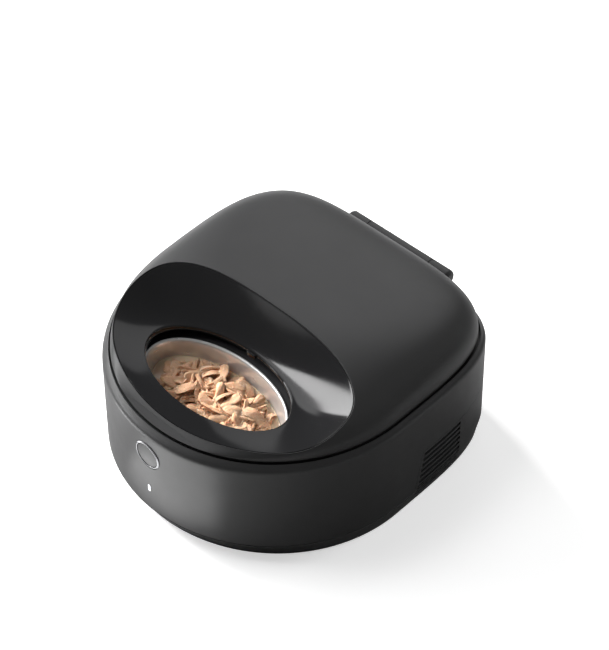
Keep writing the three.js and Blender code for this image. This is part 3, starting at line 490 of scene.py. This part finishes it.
def broth_material():
    s = Shader("broth")
    s.colour(s.noise(60.0, detail=4.0), (0.66, 0.44, 0.28), (0.80, 0.60, 0.43))
    s.roughness(s.noise(90.0), 0.06, 0.14)
    s.bump(s.noise(90.0), strength=0.25, distance=0.001)
    s.set(Subsurface_Weight=0.3, Subsurface_Scale=0.006, Specular_IOR_Level=0.6)
    return s.material


STEEL_STRETCH = (1.0, 1.0, 9.0)
FIN_STRETCH = (1.0, 12.0, 1.0)
MATERIALS = {
    "charcoal_shell": plastic("charcoal_shell", (0.026, 0.026, 0.0265), 0.40, 0.05, 0.03),
    "gloss_black": plastic("gloss_black", (0.006, 0.006, 0.0065), 0.13, 0.01, 0.02, 1800.0),
    "bowl_steel": metal("bowl_steel", (0.82, 0.82, 0.81), 0.32, 0.05, STEEL_STRETCH, 0.75),
    "chrome_trim": metal("chrome_trim", (0.26, 0.26, 0.27), 0.24, 0.04),
    "black_rubber": plastic("black_rubber", (0.018, 0.018, 0.019), 0.75, 0.3, 0.08, 1500.0),
    "white_foam": foam_material("white_foam", (0.72, 0.72, 0.70)),
    "inner_plastic": plastic("inner_plastic", (0.022, 0.022, 0.023), 0.48),
    "circuit_board": board_material("circuit_board", (0.02, 0.12, 0.05)),
    "bare_aluminium": metal("bare_aluminium", (0.60, 0.61, 0.62), 0.36, 0.06, FIN_STRETCH),
    "white_nylon": plastic("white_nylon", (0.74, 0.71, 0.64), 0.45, 0.08),
    "light_lens": light_material("light_lens"),
    "wet_food": food_material(),
}
SLOT_OF = {row["node"]: row["material_slot"] for row in frame["record"]["subparts"]}

for node, obj in frame["nodes"].items():
    obj.data.materials.clear()
    obj.data.materials.append(MATERIALS[SLOT_OF[node]])


def part(obj, body, slot, *nodes):
    if slot:
        obj.data.materials.clear()
        obj.data.materials.append(MATERIALS[slot])
    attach(obj, body)
    if nodes:
        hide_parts(*nodes)
    return obj


# Front face at the button's height, and the back of the ring set in it.
FACE = front_face(BUTTON_Z)
BACK = FACE + 5.0


def vent_front(z):
    return VENT_LOW_Y + (VENT_HIGH_Y - VENT_LOW_Y) / VENT_TOP * z


def vent_outline(gap):
    """Outline of the rear panel seen from the side, as (y, z), wider by a gap."""
    below, behind = -5.0, 182.0
    top = VENT_TOP + gap
    points = [(vent_front(below) - gap, below), (behind, below)]
    points.append((behind, VENT_TOP + VENT_RISE + gap))
    along = np.linspace(1, 0, 13)
    rise = np.interp(along, *zip(*VENT_CURVE))
    for share, up in zip(along, rise):
        points.append((VENT_RISE_Y + share * VENT_RISE_REACH, top + up * VENT_RISE))
    low = vent_front(top - VENT_CORNER) - gap
    for turn in np.linspace(PI / 2, 0, 9):
        points.append((low + VENT_CORNER * (1 - math.cos(turn)),
                       top - VENT_CORNER * (1 - math.sin(turn))))
    return points


def pill(name, gap, front, rear):
    """The status light's upright shape between two places along y, wider by a gap."""
    sides, radius, straight = 48, 1.5 + gap, 2.75
    angle = (np.arange(sides) + 0.5) * 2 * PI / sides
    x = radius * np.cos(angle)
    z = LIGHT_Z + radius * np.sin(angle) + np.sign(np.sin(angle)) * straight
    rings = [np.column_stack([x, np.full(sides, y), z]) for y in (front, rear)]
    return skin(name, rings, False)


def base_housing():
    """Outer wall with the shoulder and the groove round the lid."""
    lip = grown(LID, 1.8)
    ledge = grown(LID, -1.2)
    step = grown(ledge, -4.0)
    rings = [ring(grown(BODY, FLARE - CHAMFER), seam),
             ring(grown(BODY, FLARE), lambda x, y: seam(x, y) + CHAMFER)]
    rings += [ring(grown(BODY, lean(z)), z) for z in (40.0, 60.0, 80.0, 100.0, 111.0)]
    shoulder = [(0.0, SHOULDER), (0.12, 117.2), (0.4, 118.5), (0.9, 119.6), (1.6, 120.5),
                (2.4, 121.2)]
    rings += [ring(grown(BODY, -inset), z) for inset, z in shoulder]
    start, end = meet(grown(BODY, -2.4)), meet(lip)
    for share, z in ((0.25, 122.1), (0.5, 122.9), (0.75, 123.6), (0.9, 124.0), (0.97, 124.15)):
        at = start + (end - start) * share
        rings.append(np.column_stack([at, np.full(len(at), z)]))
    inside = [(lip, 123.9), (lip, 123.3), (lip, DECK), (ledge, DECK), (ledge, 117.2),
              (step, 117.2), (step, 115.0), (grown(BODY, -WALL), 115.0),
              (grown(BODY, FLARE - WALL), seam)]
    rings += [ring(outline, height) for outline, height in inside]
    obj = skin("outer_wall", rings)
    hinge_r, hinge_half, button_r = HINGE_R + HINGE_GAP, 65.4, 15.3
    cutters = [
        prism_x("cut_vent", vent_outline(VENT_GAP), -FAR, FAR),
        turned_x("cut_hinge", [(hinge_r, -hinge_half), (hinge_r, hinge_half)], HINGE_Y, HINGE_Z),
        turned_y("cut_button", [(button_r, FACE - 8.0), (button_r, FACE + 12.0)],
                 0.0, BUTTON_Z, sides=128),
        pill("cut_light", 0.15, -FAR, -152.0),
    ]
    return carve(obj, cutters)


part(base_housing(), "base", "charcoal_shell", "base_housing")


# Floor plate with its low wall, cut away where the rear panel wraps round.
FOOT_EDGE = 5.0
INTAKES = 6
INTAKE_Y = 85.0
INTAKE_PITCH = 9.0
INTAKE_HALF = 32.0
SCREWS = ((81, -82), (-81, -82), (81, 122), (-81, 122))
SCREW_HEAD = 3.9
SCREW_SHANK = 1.9


def floor_cover():
    under = SEAM_GAP + CHAMFER
    rings = [
        ring(grown(FOOT, -5.5), 4.0),
        ring(grown(BODY, FLARE - WALL), lambda x, y: seam(x, y) - SEAM_GAP),
        ring(grown(BODY, FLARE - CHAMFER), lambda x, y: seam(x, y) - SEAM_GAP),
        ring(grown(BODY, FLARE), lambda x, y: seam(x, y) - under),
    ]
    top, foot = meet(grown(BODY, FLARE)), meet(FOOT)
    for share in (0.25, 0.5, 0.75, 0.9):
        at = top + (foot - top) * share
        z = (seam(at[:, 0], at[:, 1]) - under) * (1 - share) + FOOT_EDGE * share
        rings.append(np.column_stack([at, z]))
    rounding = ((0.0, FOOT_EDGE), (0.15, 4.0), (0.5, 3.0), (1.1, 2.2), (1.9, 1.7), (2.8, 1.5))
    rings += [ring(grown(FOOT, -inset), z) for inset, z in rounding]
    return skin("floor_cover", rings, False)


def bottom_cover():
    obj = floor_cover()
    band = prism_x("cut_band", vent_outline(VENT_GAP), -FAR, FAR)
    keep = block("cut_keep", -180.0, 180.0, 0.0, 190.0, 4.0, 60.0)
    cutters = [carve(band, [keep], "INTERSECT")]
    for index in range(INTAKES):
        y = INTAKE_Y + (index - (INTAKES - 1) / 2) * INTAKE_PITCH
        cutters.append(block("cut_intake", -INTAKE_HALF, INTAKE_HALF, y - 2.0, y + 2.0, -5.0, 12.0))
    for at in SCREWS:
        head = [(SCREW_HEAD, -4.0), (SCREW_HEAD, 3.2)]
        shank = [(SCREW_SHANK, 2.0), (SCREW_SHANK, 8.0)]
        cutters.append(turned("cut_screw", head, sides=48, centre=at))
        cutters.append(turned("cut_shank", shank, sides=32, centre=at))
    rails = [block("rail", 38.0, 106.0, y - 2.0, y + 2.0, 2.75, 9.0) for y in (-68.0, -20.0)]
    carve(obj, rails, "UNION")
    return carve(obj, cutters)


part(bottom_cover(), "base", "charcoal_shell", "bottom_cover")


# Slotted panel round the rear.
PANEL = 2.4
PANEL_FOOT = 4.3
TALL_SLOT = 3.8
THIN_SLOT = 1.8
INLET_X = 62.0
INLET_Z = 30.0
INLET_R = 6.3


def slot_rows():
    """Middle height and opening of each row, six tall ones above four thin ones."""
    tall = [(60.0 - 6.6 * row, TALL_SLOT) for row in range(6)]
    return tall + [(21.8 - 3.7 * row, THIN_SLOT) for row in range(4)]


def rear_grille():
    foot = grown(FOOT, -0.3)
    heights = (SEAM, 35.0, 50.0, 65.0, 80.0, 95.0, 115.0)
    rings = [ring(foot, PANEL_FOOT)]
    rings += [ring(grown(BODY, lean(z)), z) for z in heights]
    rings += [ring(grown(BODY, lean(z) - PANEL), z) for z in reversed(heights)]
    rings += [ring(grown(foot, -PANEL), PANEL_FOOT)]
    obj = skin("vent_panel", rings)
    carve(obj, [prism_x("keep_vent", vent_outline(0.0), -FAR, FAR)], "INTERSECT")
    cutters = []
    for z, opening in slot_rows():
        low, high = z - opening / 2, z + opening / 2
        front = vent_front(z) + 3.4
        for x0, x1 in ((-175.0, -120.0), (120.0, 175.0)):
            cutters.append(block("slot", x0, x1, front, 86.0, low, high))
        if opening == TALL_SLOT:
            cutters.append(block("slot", -42.0, 42.0, 150.0, 190.0, low, high))
    inlet = [(INLET_R, 160.0), (INLET_R, 180.0)]
    cutters.append(turned_y("cut_inlet", inlet, INLET_X, INLET_Z))
    return carve(obj, cutters)


part(rear_grille(), "base", "charcoal_shell", "rear_grille")


# Deck and tub.
TUB_UNDER = 62.0
DECK_UNDER = 117.5
TUB_OUTSIDE = 143.0


def well_liner():
    deck = grown(LID, -1.5)
    inside = [(139.0, 64.0), (140.4, 64.6), (141.0, 66.0), (141.0, 90.0), (141.0, 118.7),
              (141.3, 119.3), (141.9, DECK)]
    rings = [ring(circle(radius), z, WELL) for radius, z in inside]
    rings += [ring(deck, DECK, WELL), ring(deck, DECK_UNDER, WELL)]
    rings += [ring(circle(TUB_OUTSIDE), z, WELL) for z in (DECK_UNDER, TUB_UNDER)]
    obj = skin("well_tub", rings, False)
    bore = turned("cut_bore", [(8.0, 50.0), (8.0, 70.0)])
    return carve(obj, [bore, block("cut_window", -50.0, 50.0, 62.0, 108.0, 50.0, 75.0)])


part(well_liner(), "base", "inner_plastic", "well_liner")


# Lid shell, scoop, inner plate and gasket.
def between(start, end, share, height):
    """Points at a share of the way from one outline to another, at a height over each."""
    a, b = meet(start, EYE), meet(end, EYE)
    at = a + (b - a) * share
    return np.column_stack([at, height(at[:, 0], at[:, 1])])


def lid_shell():
    inside = grown(LID, -SHELL)
    shares = [0.0003, 0.001, 0.002, 0.004, 0.007, 0.011, 0.016, 0.023, 0.032, 0.043, 0.056,
              0.072, 0.09, 0.112, 0.14, 0.17, 0.21, 0.26, 0.32, 0.39, 0.47, 0.56, 0.65, 0.74,
              0.83, 0.91, 0.96, 0.985]
    skirt = [(-1.9, SKIRT), (-1.4, SKIRT + 0.2), (-0.75, 123.5), (-0.2, 125.3), (-0.05, 125.7),
             (0.0, LID_EDGE)]
    rings = [ring(grown(LID, out), z, EYE) for out, z in skirt]
    rings += [between(LID, SCOOP, share, dome) for share in shares]
    edge = meet(SCOOP, EYE)
    for out, drop in ((0.5, 0.0), (0.2, 0.1), (0.03, 0.35), (0.0, 0.8), (0.0, SHELL)):
        at = meet(grown(SCOOP, out), EYE)
        rings.append(np.column_stack([at, dome(edge[:, 0], edge[:, 1]) - drop]))
    rings += [between(inside, SCOOP, share, lambda x, y: dome(x, y, SHELL))
              for share in (0.9, 0.7, 0.45, 0.3, 0.16, 0.08, 0.03)]
    rings += [ring(inside, z, EYE) for z in (123.6, SKIRT)]
    obj = skin("lid_dome", rings, sharp=50.0)
    slot = block("cut_slot", -39.6, 39.6, 147.6, 172.0, 115.0, 127.5)
    return carve(obj, [slot], sharp=50.0)


part(lid_shell(), "lid", "charcoal_shell", "lid_shell")


def lid_scoop():
    """The bowl-like face from the seam on the dome down to the opening, with its collar."""
    sweep, collar_out = 1.45, 2.0
    low_at, high_at = meet(OPENING, EYE), meet(grown(SCOOP, -0.45), EYE)
    low_z = opening_height(low_at[:, 1])
    high_z = dome(high_at[:, 0], high_at[:, 1]) - 0.3

    def surface(share, sunk):
        at = low_at + (high_at - low_at) * share
        z = low_z + (high_z - low_z) * share ** sweep - sunk
        return np.column_stack([at, z])

    shares = [0.018, 0.05, 0.09, 0.14, 0.2, 0.26, 0.32, 0.38, 0.44, 0.5, 0.56, 0.62, 0.68, 0.74,
              0.8, 0.85, 0.9, 0.94, 0.97, 0.985]
    rings = []
    for out, drop in ((0.0, 1.6), (0.06, 0.9), (0.25, 0.4), (0.6, 0.12)):
        rings.append(np.column_stack([meet(grown(OPENING, out), EYE), low_z - drop]))
    rings += [surface(share, 0.0) for share in shares]
    rings += [surface(0.994, 0.08), surface(1.0, 0.45), surface(1.0, SHELL)]
    rings += [surface(share, SHELL) for share in (0.8, 0.6, 0.4, 0.2)]
    collar = grown(OPENING, collar_out)
    collar_at = meet(collar, EYE)
    rings += [
        np.column_stack([collar_at, opening_height(collar_at[:, 1]) - 2.6]),
        ring(collar, LINER_UNDER, EYE), ring(grown(OPENING, 0.4), LINER_UNDER, EYE),
        ring(OPENING, LINER_UNDER + 0.4, EYE),
    ]
    return skin("lid_bezel", rings, sharp=45.0)


part(lid_scoop(), "lid", "gloss_black", "lid_scoop")


def lid_liner():
    outer, hole, top = grown(LID, -3.1), grown(OPENING, 2.3), 122.9
    return skin("lid_plate", [
        ring(grown(outer, -0.4), LINER_UNDER, EYE), ring(outer, LINER_UNDER + 0.4, EYE),
        ring(outer, top, EYE), ring(hole, top, EYE), ring(hole, LINER_UNDER + 0.3, EYE),
        ring(grown(hole, 0.3), LINER_UNDER, EYE),
    ])


def lid_gasket():
    profile = [(144.15, 120.6), (144.15, 120.1), (144.6, 119.8), (146.0, 119.8),
               (146.45, 120.1), (146.45, 120.6)]
    return turned("lid_seal", profile, True, 256)


def food_sensor():
    """The sensor under the rear of the opening."""
    obj = block("level_sensor", -5.0, 5.0, -31.4, -28.4, LINER_UNDER, 125.9)
    return bevel(obj, 0.9, 4)


part(lid_liner(), "lid", "inner_plastic", "lid_liner")
part(lid_gasket(), "lid", "black_rubber", "lid_gasket")
part(food_sensor(), "lid", "gloss_black", "food_sensor")


# Hinge.
def pin_bore(half):
    return turned_x("bore", [(PIN_BORE, -half), (PIN_BORE, half)], HINGE_Y, HINGE_Z, sides=48)


def hinge_tongue():
    rim, straight = HINGE_R - HINGE_EDGE, TONGUE_HALF - HINGE_EDGE
    profile = [(rim, -TONGUE_HALF), (HINGE_R, -straight), (HINGE_R, straight), (rim, TONGUE_HALF)]
    obj = turned_x("hinge_barrel", profile, HINGE_Y, HINGE_Z, sides=128)
    arm = block("arm", -TONGUE_HALF, TONGUE_HALF, 150.0, HINGE_Y, 123.2, 127.2)
    carve(obj, [arm], "UNION")
    return carve(obj, [pin_bore(45.0)])


def hinge_bracket(name, side):
    profile = [(HINGE_R - HINGE_EDGE, BRACKET_IN), (HINGE_R, BRACKET_IN + HINGE_EDGE)]
    for turn in np.linspace(0, PI / 2 - 0.04, 10):
        profile.append((HINGE_R - BRACKET_ROUND * (1 - math.cos(turn)),
                        BRACKET_OUT + BRACKET_ROUND * math.sin(turn)))
    obj = turned_x(name, [(r, side * x) for r, x in profile], HINGE_Y, HINGE_Z, sides=128)
    low, high = sorted((side * BRACKET_IN, side * BRACKET_OUT))
    foot = block("foot", low, high, 168.9, 180.0, 107.1, HINGE_Z)
    bevel(foot, HINGE_EDGE, 3)
    carve(obj, [foot], "UNION")
    return carve(obj, [pin_bore(63.7)])


part(hinge_tongue(), "lid", "charcoal_shell", "hinge_tongue")
part(hinge_bracket("hinge_end_left", -1), "base", "charcoal_shell", "hinge_bracket_left")
part(hinge_bracket("hinge_end_right", 1), "base", "charcoal_shell", "hinge_bracket_right")


# Ring, button and status light, from profiles of (radius, y).
def button_ring():
    profile = [(13.05, FACE - 0.2), (13.25, FACE - 0.5), (13.6, FACE - 0.62),
               (14.05, FACE - 0.5), (14.35, FACE - 0.25), (15.0, FACE + 0.1),
               (15.0, BACK), (13.0, BACK)]
    return turned_y("button_ring", profile, 0.0, BUTTON_Z, True, 192)


def button_cap():
    profile = [(11.9, FACE - 0.2), (12.4, FACE - 0.08), (12.7, FACE + 0.3), (12.7, BACK + 0.3),
               (14.8, BACK + 0.3), (14.8, BACK + 1.5)]
    return turned_y("button_cap", profile, 0.0, BUTTON_Z, False, 192)


def status_lens():
    return pill("status_lens", 0.0, front_face(LIGHT_Z) - 0.1, -149.4)


part(button_ring(), "base", "chrome_trim", "button_bezel")
part(button_cap(), "button", "charcoal_shell", "power_button")
part(status_lens(), "base", "light_lens", "status_light")


# Tray and bowls.
TRAY_TOP = 112.6
TRAY_UNDER = 110.4
TRAY_SLEEVE = 16.0
TRAY_FOOT = 70.6

# Inner surface of a bowl as (inset, height), from the floor up.
BOWL_INSIDE = [(19.5, 78.9), (17.0, 79.2), (14.5, 80.4), (12.2, 82.6), (10.4, 85.6), (9.0, 89.5),
               (7.6, 94.5), (6.3, 100.0), (5.1, 105.0), (4.1, 109.5), (3.2, 112.6), (2.5, 113.7),
               (1.8, 114.3), (1.2, 114.5)]


def bowl_at(angle):
    return BOWL_RING * math.sin(angle), WELL_BACK - BOWL_RING * math.cos(angle)


def oval(angle, inset, height, sides=160):
    """One row of points round a bowl, inside its rim by an inset."""
    cx, cy = bowl_at(angle)
    turn = np.arange(sides) * 2 * PI / sides
    along = (BOWL_LONG - inset) * np.cos(turn)
    across = (BOWL_WIDE - inset) * np.sin(turn)
    return np.column_stack([
        cx + along * math.cos(angle) - across * math.sin(angle),
        cy + along * math.sin(angle) + across * math.cos(angle),
        np.full(sides, float(height)),
    ])


def food_tray():
    profile = [
        (11.4, 118.0), (12.4, 117.8), (15.6, 115.2), (TRAY_SLEEVE, 114.4),
        (TRAY_SLEEVE, TRAY_TOP), (137.6, TRAY_TOP), (138.3, 112.3), (138.5, 111.6),
        (138.5, 100.0), (136.3, 100.0), (136.3, TRAY_UNDER), (TRAY_SLEEVE, TRAY_UNDER),
        (TRAY_SLEEVE, TRAY_FOOT), (10.0, TRAY_FOOT), (10.0, 105.8),
    ]
    obj = turned("bowl_tray", profile, sides=200)
    holes = [skin("hole", [oval(angle, 2.3, z) for z in (106.0, 117.0)], False)
             for angle in BOWL_ANGLES]
    return carve(obj, holes)


def food_bowl(name, angle):
    rim = [(0.6, 114.35), (0.15, 113.9), (0.0, 113.4), (0.2, 112.95), (2.9, 112.9)]
    outside = [(inset - 0.8, z - 0.6) for inset, z in reversed(BOWL_INSIDE[1:9])]
    profile = BOWL_INSIDE + rim + outside + [(19.0, 78.1)]
    rings = [oval(angle, inset, z) for inset, z in profile]
    return skin(name, rings, False, sharp=60.0)


part(food_tray(), "carousel", "inner_plastic", "food_tray")
for index, angle in enumerate(BOWL_ANGLES, 1):
    part(food_bowl(f"bowl_{index}", angle), "carousel", "bowl_steel", f"food_bowl_{index}")


# Food in the front bowl, torn meat heaped in a little broth.
STRANDS = 250
HEAP_LONG = 64.0
HEAP_WIDE = 32.0
HEAP_Z = 97.0
HEAP_RISE = 10.0
CHUNK = dict(length=(20.0, 40.0), width=(8.0, 15.0), thick=(3.0, 5.2))
STRAND = dict(length=(12.0, 32.0), width=(1.8, 6.0), thick=(1.4, 3.0))

# The bowl's wall is this far inside the rim at this height, and slopes by this share.
SLOPE_INSET = 7.2
SLOPE_Z = 100.0
SLOPE = 0.25

# Surface and sides of the broth as (inset, height).
BROTH = [(7.4, 97.3), (7.9, 96.7), (8.8, 96.4), (20.0, 96.4), (40.0, 96.4), (40.0, 84.0),
         (13.0, 84.0)]


def shred(centre, heading, tilt, length, width, thick, curl):
    """Points and faces of one torn strand, rough in outline and pinched at its ends."""
    rows, around = 11, 14
    points = []
    forward = Vector((math.cos(heading) * math.cos(tilt), math.sin(heading) * math.cos(tilt),
                      math.sin(tilt)))
    side = forward.cross(Vector((0, 0, 1))).normalized()
    up = side.cross(forward).normalized()
    roll = random.uniform(-0.6, 0.6)
    side, up = (side * math.cos(roll) + up * math.sin(roll),
                up * math.cos(roll) - side * math.sin(roll))
    phases = [random.uniform(0, 2 * PI) for _ in range(4)]
    for row in range(rows):
        t = row / (rows - 1) * 2 - 1
        grow = (1 - abs(t) ** 3.2) ** 0.6 * 0.9 + 0.1
        torn = 0.10 + 0.25 * abs(t) ** 2
        bend = curl * (t * t - 0.33) * length * 0.5
        wander = 0.10 * length * math.sin(2.6 * t + phases[0])
        middle = centre + forward * (t * length / 2) + up * (-bend) + side * wander
        for k in range(around):
            angle = 2 * PI * k / around
            rib = 1 + 0.20 * math.sin(3 * angle + phases[1] + 2.4 * t)
            rib += 0.10 * math.sin(5 * angle + phases[2] + 0.8 * t)
            rib += 0.12 * math.sin(8 * angle + phases[3]) + random.uniform(-torn, torn)
            a = math.cos(angle) * width / 2 * grow * rib
            b = math.sin(angle) * thick / 2 * grow * rib
            points.append(middle + side * a + up * b)
    return points, skin_faces(rows, around, False)


def clear_of_wall(point, cx, cy):
    """The point itself, or where it meets the bowl's sloping wall if it lies past that."""
    inset = SLOPE_INSET + SLOPE * (SLOPE_Z - point.z)
    dx, dy = point.x - cx, point.y - cy
    reach = max(1.0, math.hypot(dx / (BOWL_LONG - inset), dy / (BOWL_WIDE - inset)))
    return cx + dx / reach, cy + dy / reach, point.z


def food():
    cx, cy = bowl_at(0.0)
    points, faces = [], []
    for index in range(STRANDS):
        spread = math.sqrt(random.random())
        angle = random.uniform(0, 2 * PI)
        x = spread * math.cos(angle) * HEAP_LONG
        y = spread * math.sin(angle) * HEAP_WIDE
        mound = HEAP_RISE * (1 - spread ** 2.2)
        z = HEAP_Z + mound * random.uniform(0.45, 1.0)
        kind = CHUNK if index % 4 == 0 else STRAND
        length = random.uniform(*kind["length"])
        width = random.uniform(*kind["width"])
        thick = random.uniform(*kind["thick"])
        if spread > 0.8:
            length *= 0.6
            width *= 0.8
        got, made = shred(Vector((cx + x, cy + y, z)), random.uniform(0, 2 * PI),
                          random.gauss(0, 0.22), length, width, thick,
                          random.uniform(-0.3, 0.6))
        start = len(points)
        points += [clear_of_wall(point, cx, cy) for point in got]
        faces += [tuple(start + i for i in face) for face in made]
    obj = mesh_object("shredded_food", points, faces, 80.0)
    step = obj.modifiers.new("soften", "SUBSURF")
    step.levels = step.render_levels = 1
    apply_modifiers(obj)
    shade(obj.data, 80.0)
    return obj


def broth():
    rings = [oval(0.0, inset, z) for inset, z in BROTH]
    return skin("broth_pool", rings, True, sharp=60.0, material=broth_material())


part(food(), "carousel", "wet_food", "food_serving")
part(broth(), "carousel", None, "food_serving")


# Stage with floor, lights and camera. Lengths of the floor and the lights are in metres.
FLOOR_REACH = 6.0
FLOOR_GLOW = 0.55
FLOOR_HIDDEN = (0.38, 0.38, 0.38, 1)
FILL_STRENGTH = 0.08
MIRRORED_STRENGTH = 0.2
SEEN_STRENGTH = 1.0
LIGHT_DISTANCE = 3.0
AIM = Vector((0, 0, 0.1))
CARD_HEIGHT = 0.004

# Camera fitted to the photograph: angles in degrees, place in millimetres, lens in pixels.
CAMERA_AZIMUTH = 44.0353
CAMERA_ELEVATION = 45.1567
CAMERA_X, CAMERA_Y, CAMERA_Z = 776.05, -763.07, 1234.50
LENS_PIXELS = 1691.63
PICTURE_HEIGHT = 650.0
SENSOR = 36.0


def seen_by_camera(shader, seen, hidden):
    """One shader for what the camera sees directly and another for all other rays."""
    rays = shader.node("ShaderNodeLightPath")
    mix = shader.node("ShaderNodeMixShader")
    shader.link(rays.outputs["Is Camera Ray"], mix.inputs["Fac"])
    shader.link(hidden, mix.inputs[1])
    shader.link(seen, mix.inputs[2])
    return mix.outputs["Shader"]


def stage_floor():
    """A pale floor that glows a little to the camera and is dimmer for all other rays."""
    mesh = bpy.data.meshes.new("floor")
    points = [(x * FLOOR_REACH, y * FLOOR_REACH, 0) for x, y in ((-1, -1), (1, -1), (1, 1), (-1, 1))]
    mesh.from_pydata(points, [], [(0, 1, 2, 3)])
    obj = bpy.data.objects.new("floor", mesh)
    bpy.context.scene.collection.objects.link(obj)
    s = Shader("pale_floor")
    s.set(Base_Color=(0.80, 0.80, 0.80, 1), Roughness=0.9, Specular_IOR_Level=0.1,
          Emission_Color=(1, 1, 1, 1), Emission_Strength=FLOOR_GLOW)
    dim = s.node("ShaderNodeBsdfDiffuse")
    dim.inputs["Color"].default_value = FLOOR_HIDDEN
    output = s.tree.nodes["Material Output"]
    s.link(seen_by_camera(s, s.main.outputs["BSDF"], dim.outputs["BSDF"]),
           output.inputs["Surface"])
    mesh.materials.append(s.material)


def studio_world():
    """White to the camera, a dimmer white in reflections, and soft fill for all other rays."""
    world = bpy.data.worlds.new("studio")
    bpy.context.scene.world = world
    world.use_nodes = True
    nodes, links = world.node_tree.nodes, world.node_tree.links
    nodes.clear()
    rays = nodes.new("ShaderNodeLightPath")
    mirrored = nodes.new("ShaderNodeMath")
    mirrored.operation = "MAXIMUM"
    links.new(rays.outputs["Is Glossy Ray"], mirrored.inputs[0])
    links.new(rays.outputs["Is Transmission Ray"], mirrored.inputs[1])
    shader = None
    for strength, chosen in ((FILL_STRENGTH, None), (MIRRORED_STRENGTH, mirrored.outputs["Value"]),
                             (SEEN_STRENGTH, rays.outputs["Is Camera Ray"])):
        light = nodes.new("ShaderNodeBackground")
        light.inputs["Color"].default_value = (1, 1, 1, 1)
        light.inputs["Strength"].default_value = strength
        made = light.outputs["Background"]
        if chosen:
            mix = nodes.new("ShaderNodeMixShader")
            links.new(chosen, mix.inputs["Fac"])
            links.new(shader, mix.inputs[1])
            links.new(made, mix.inputs[2])
            made = mix.outputs["Shader"]
        shader = made
    links.new(shader, nodes.new("ShaderNodeOutputWorld").inputs["Surface"])


def panel_light(name, width, height, radiance):
    data = bpy.data.lights.new(name, "AREA")
    data.shape = "RECTANGLE"
    data.size = width
    data.size_y = height
    data.energy = radiance * PI * width * height
    obj = bpy.data.objects.new(name, data)
    bpy.context.scene.collection.objects.link(obj)
    obj.visible_camera = False
    return obj


def softbox(name, azimuth, elevation, width, height, radiance, glossy=True):
    """A distant panel, placed by its angles in degrees from the front and from the floor."""
    obj = panel_light(name, width, height, radiance)
    az, el = math.radians(azimuth), math.radians(elevation)
    away = Vector((math.sin(az) * math.cos(el), -math.cos(az) * math.cos(el), math.sin(el)))
    obj.location = AIM + away * LIGHT_DISTANCE
    obj.rotation_mode = "QUATERNION"
    obj.rotation_quaternion = away.to_track_quat("Z", "Y")
    obj.visible_glossy = glossy


def bounce_card(name, azimuth, reach, width, radiance):
    """A panel that lies on the floor and faces up, for light from below."""
    obj = panel_light(name, width, width, radiance)
    az = math.radians(azimuth)
    obj.location = (math.sin(az) * reach, -math.cos(az) * reach, CARD_HEIGHT)
    obj.rotation_euler = (PI, 0, -az)


def photo_camera():
    az, el = math.radians(CAMERA_AZIMUTH), math.radians(CAMERA_ELEVATION)
    back = Vector((math.sin(az) * math.cos(el), -math.cos(az) * math.cos(el), math.sin(el)))
    right = Vector((math.cos(az), math.sin(az), 0.0))
    up = right.cross(-back)
    data = bpy.data.cameras.new("camera")
    data.sensor_width = SENSOR
    data.lens = LENS_PIXELS * SENSOR / PICTURE_HEIGHT
    camera = bpy.data.objects.new("camera", data)
    bpy.context.scene.collection.objects.link(camera)
    turn = Matrix((right, up, back)).transposed().to_4x4()
    place = Vector((CAMERA_X, CAMERA_Y + SHIFT, CAMERA_Z)) * MM
    camera.matrix_world = Matrix.Translation(place) @ turn
    bpy.context.scene.camera = camera


stage_floor()
studio_world()
softbox("rear_box", -154, 40, 2.0, 1.7, 0.8)
softbox("left_box", -69, 26, 2.2, 0.78, 9.6)
softbox("left_upper_box", -75, 41, 2.6, 0.8, 1.7)
softbox("right_rear_box", 138, 46, 2.2, 1.6, 0.15)
softbox("left_fill", -92, 20, 1.7, 0.64, 95.0, False)
softbox("upper_fill", -60, 60, 1.2, 1.2, 6.5, False)
softbox("right_fill", 150, 20, 1.6, 0.64, 12.0, False)
bounce_card("front_card", 0, 0.27, 0.16, 2.3)
bounce_card("front_left_card", -30, 0.45, 0.24, 6.5)
photo_camera()
bpy.context.scene.view_settings.view_transform = "Standard"
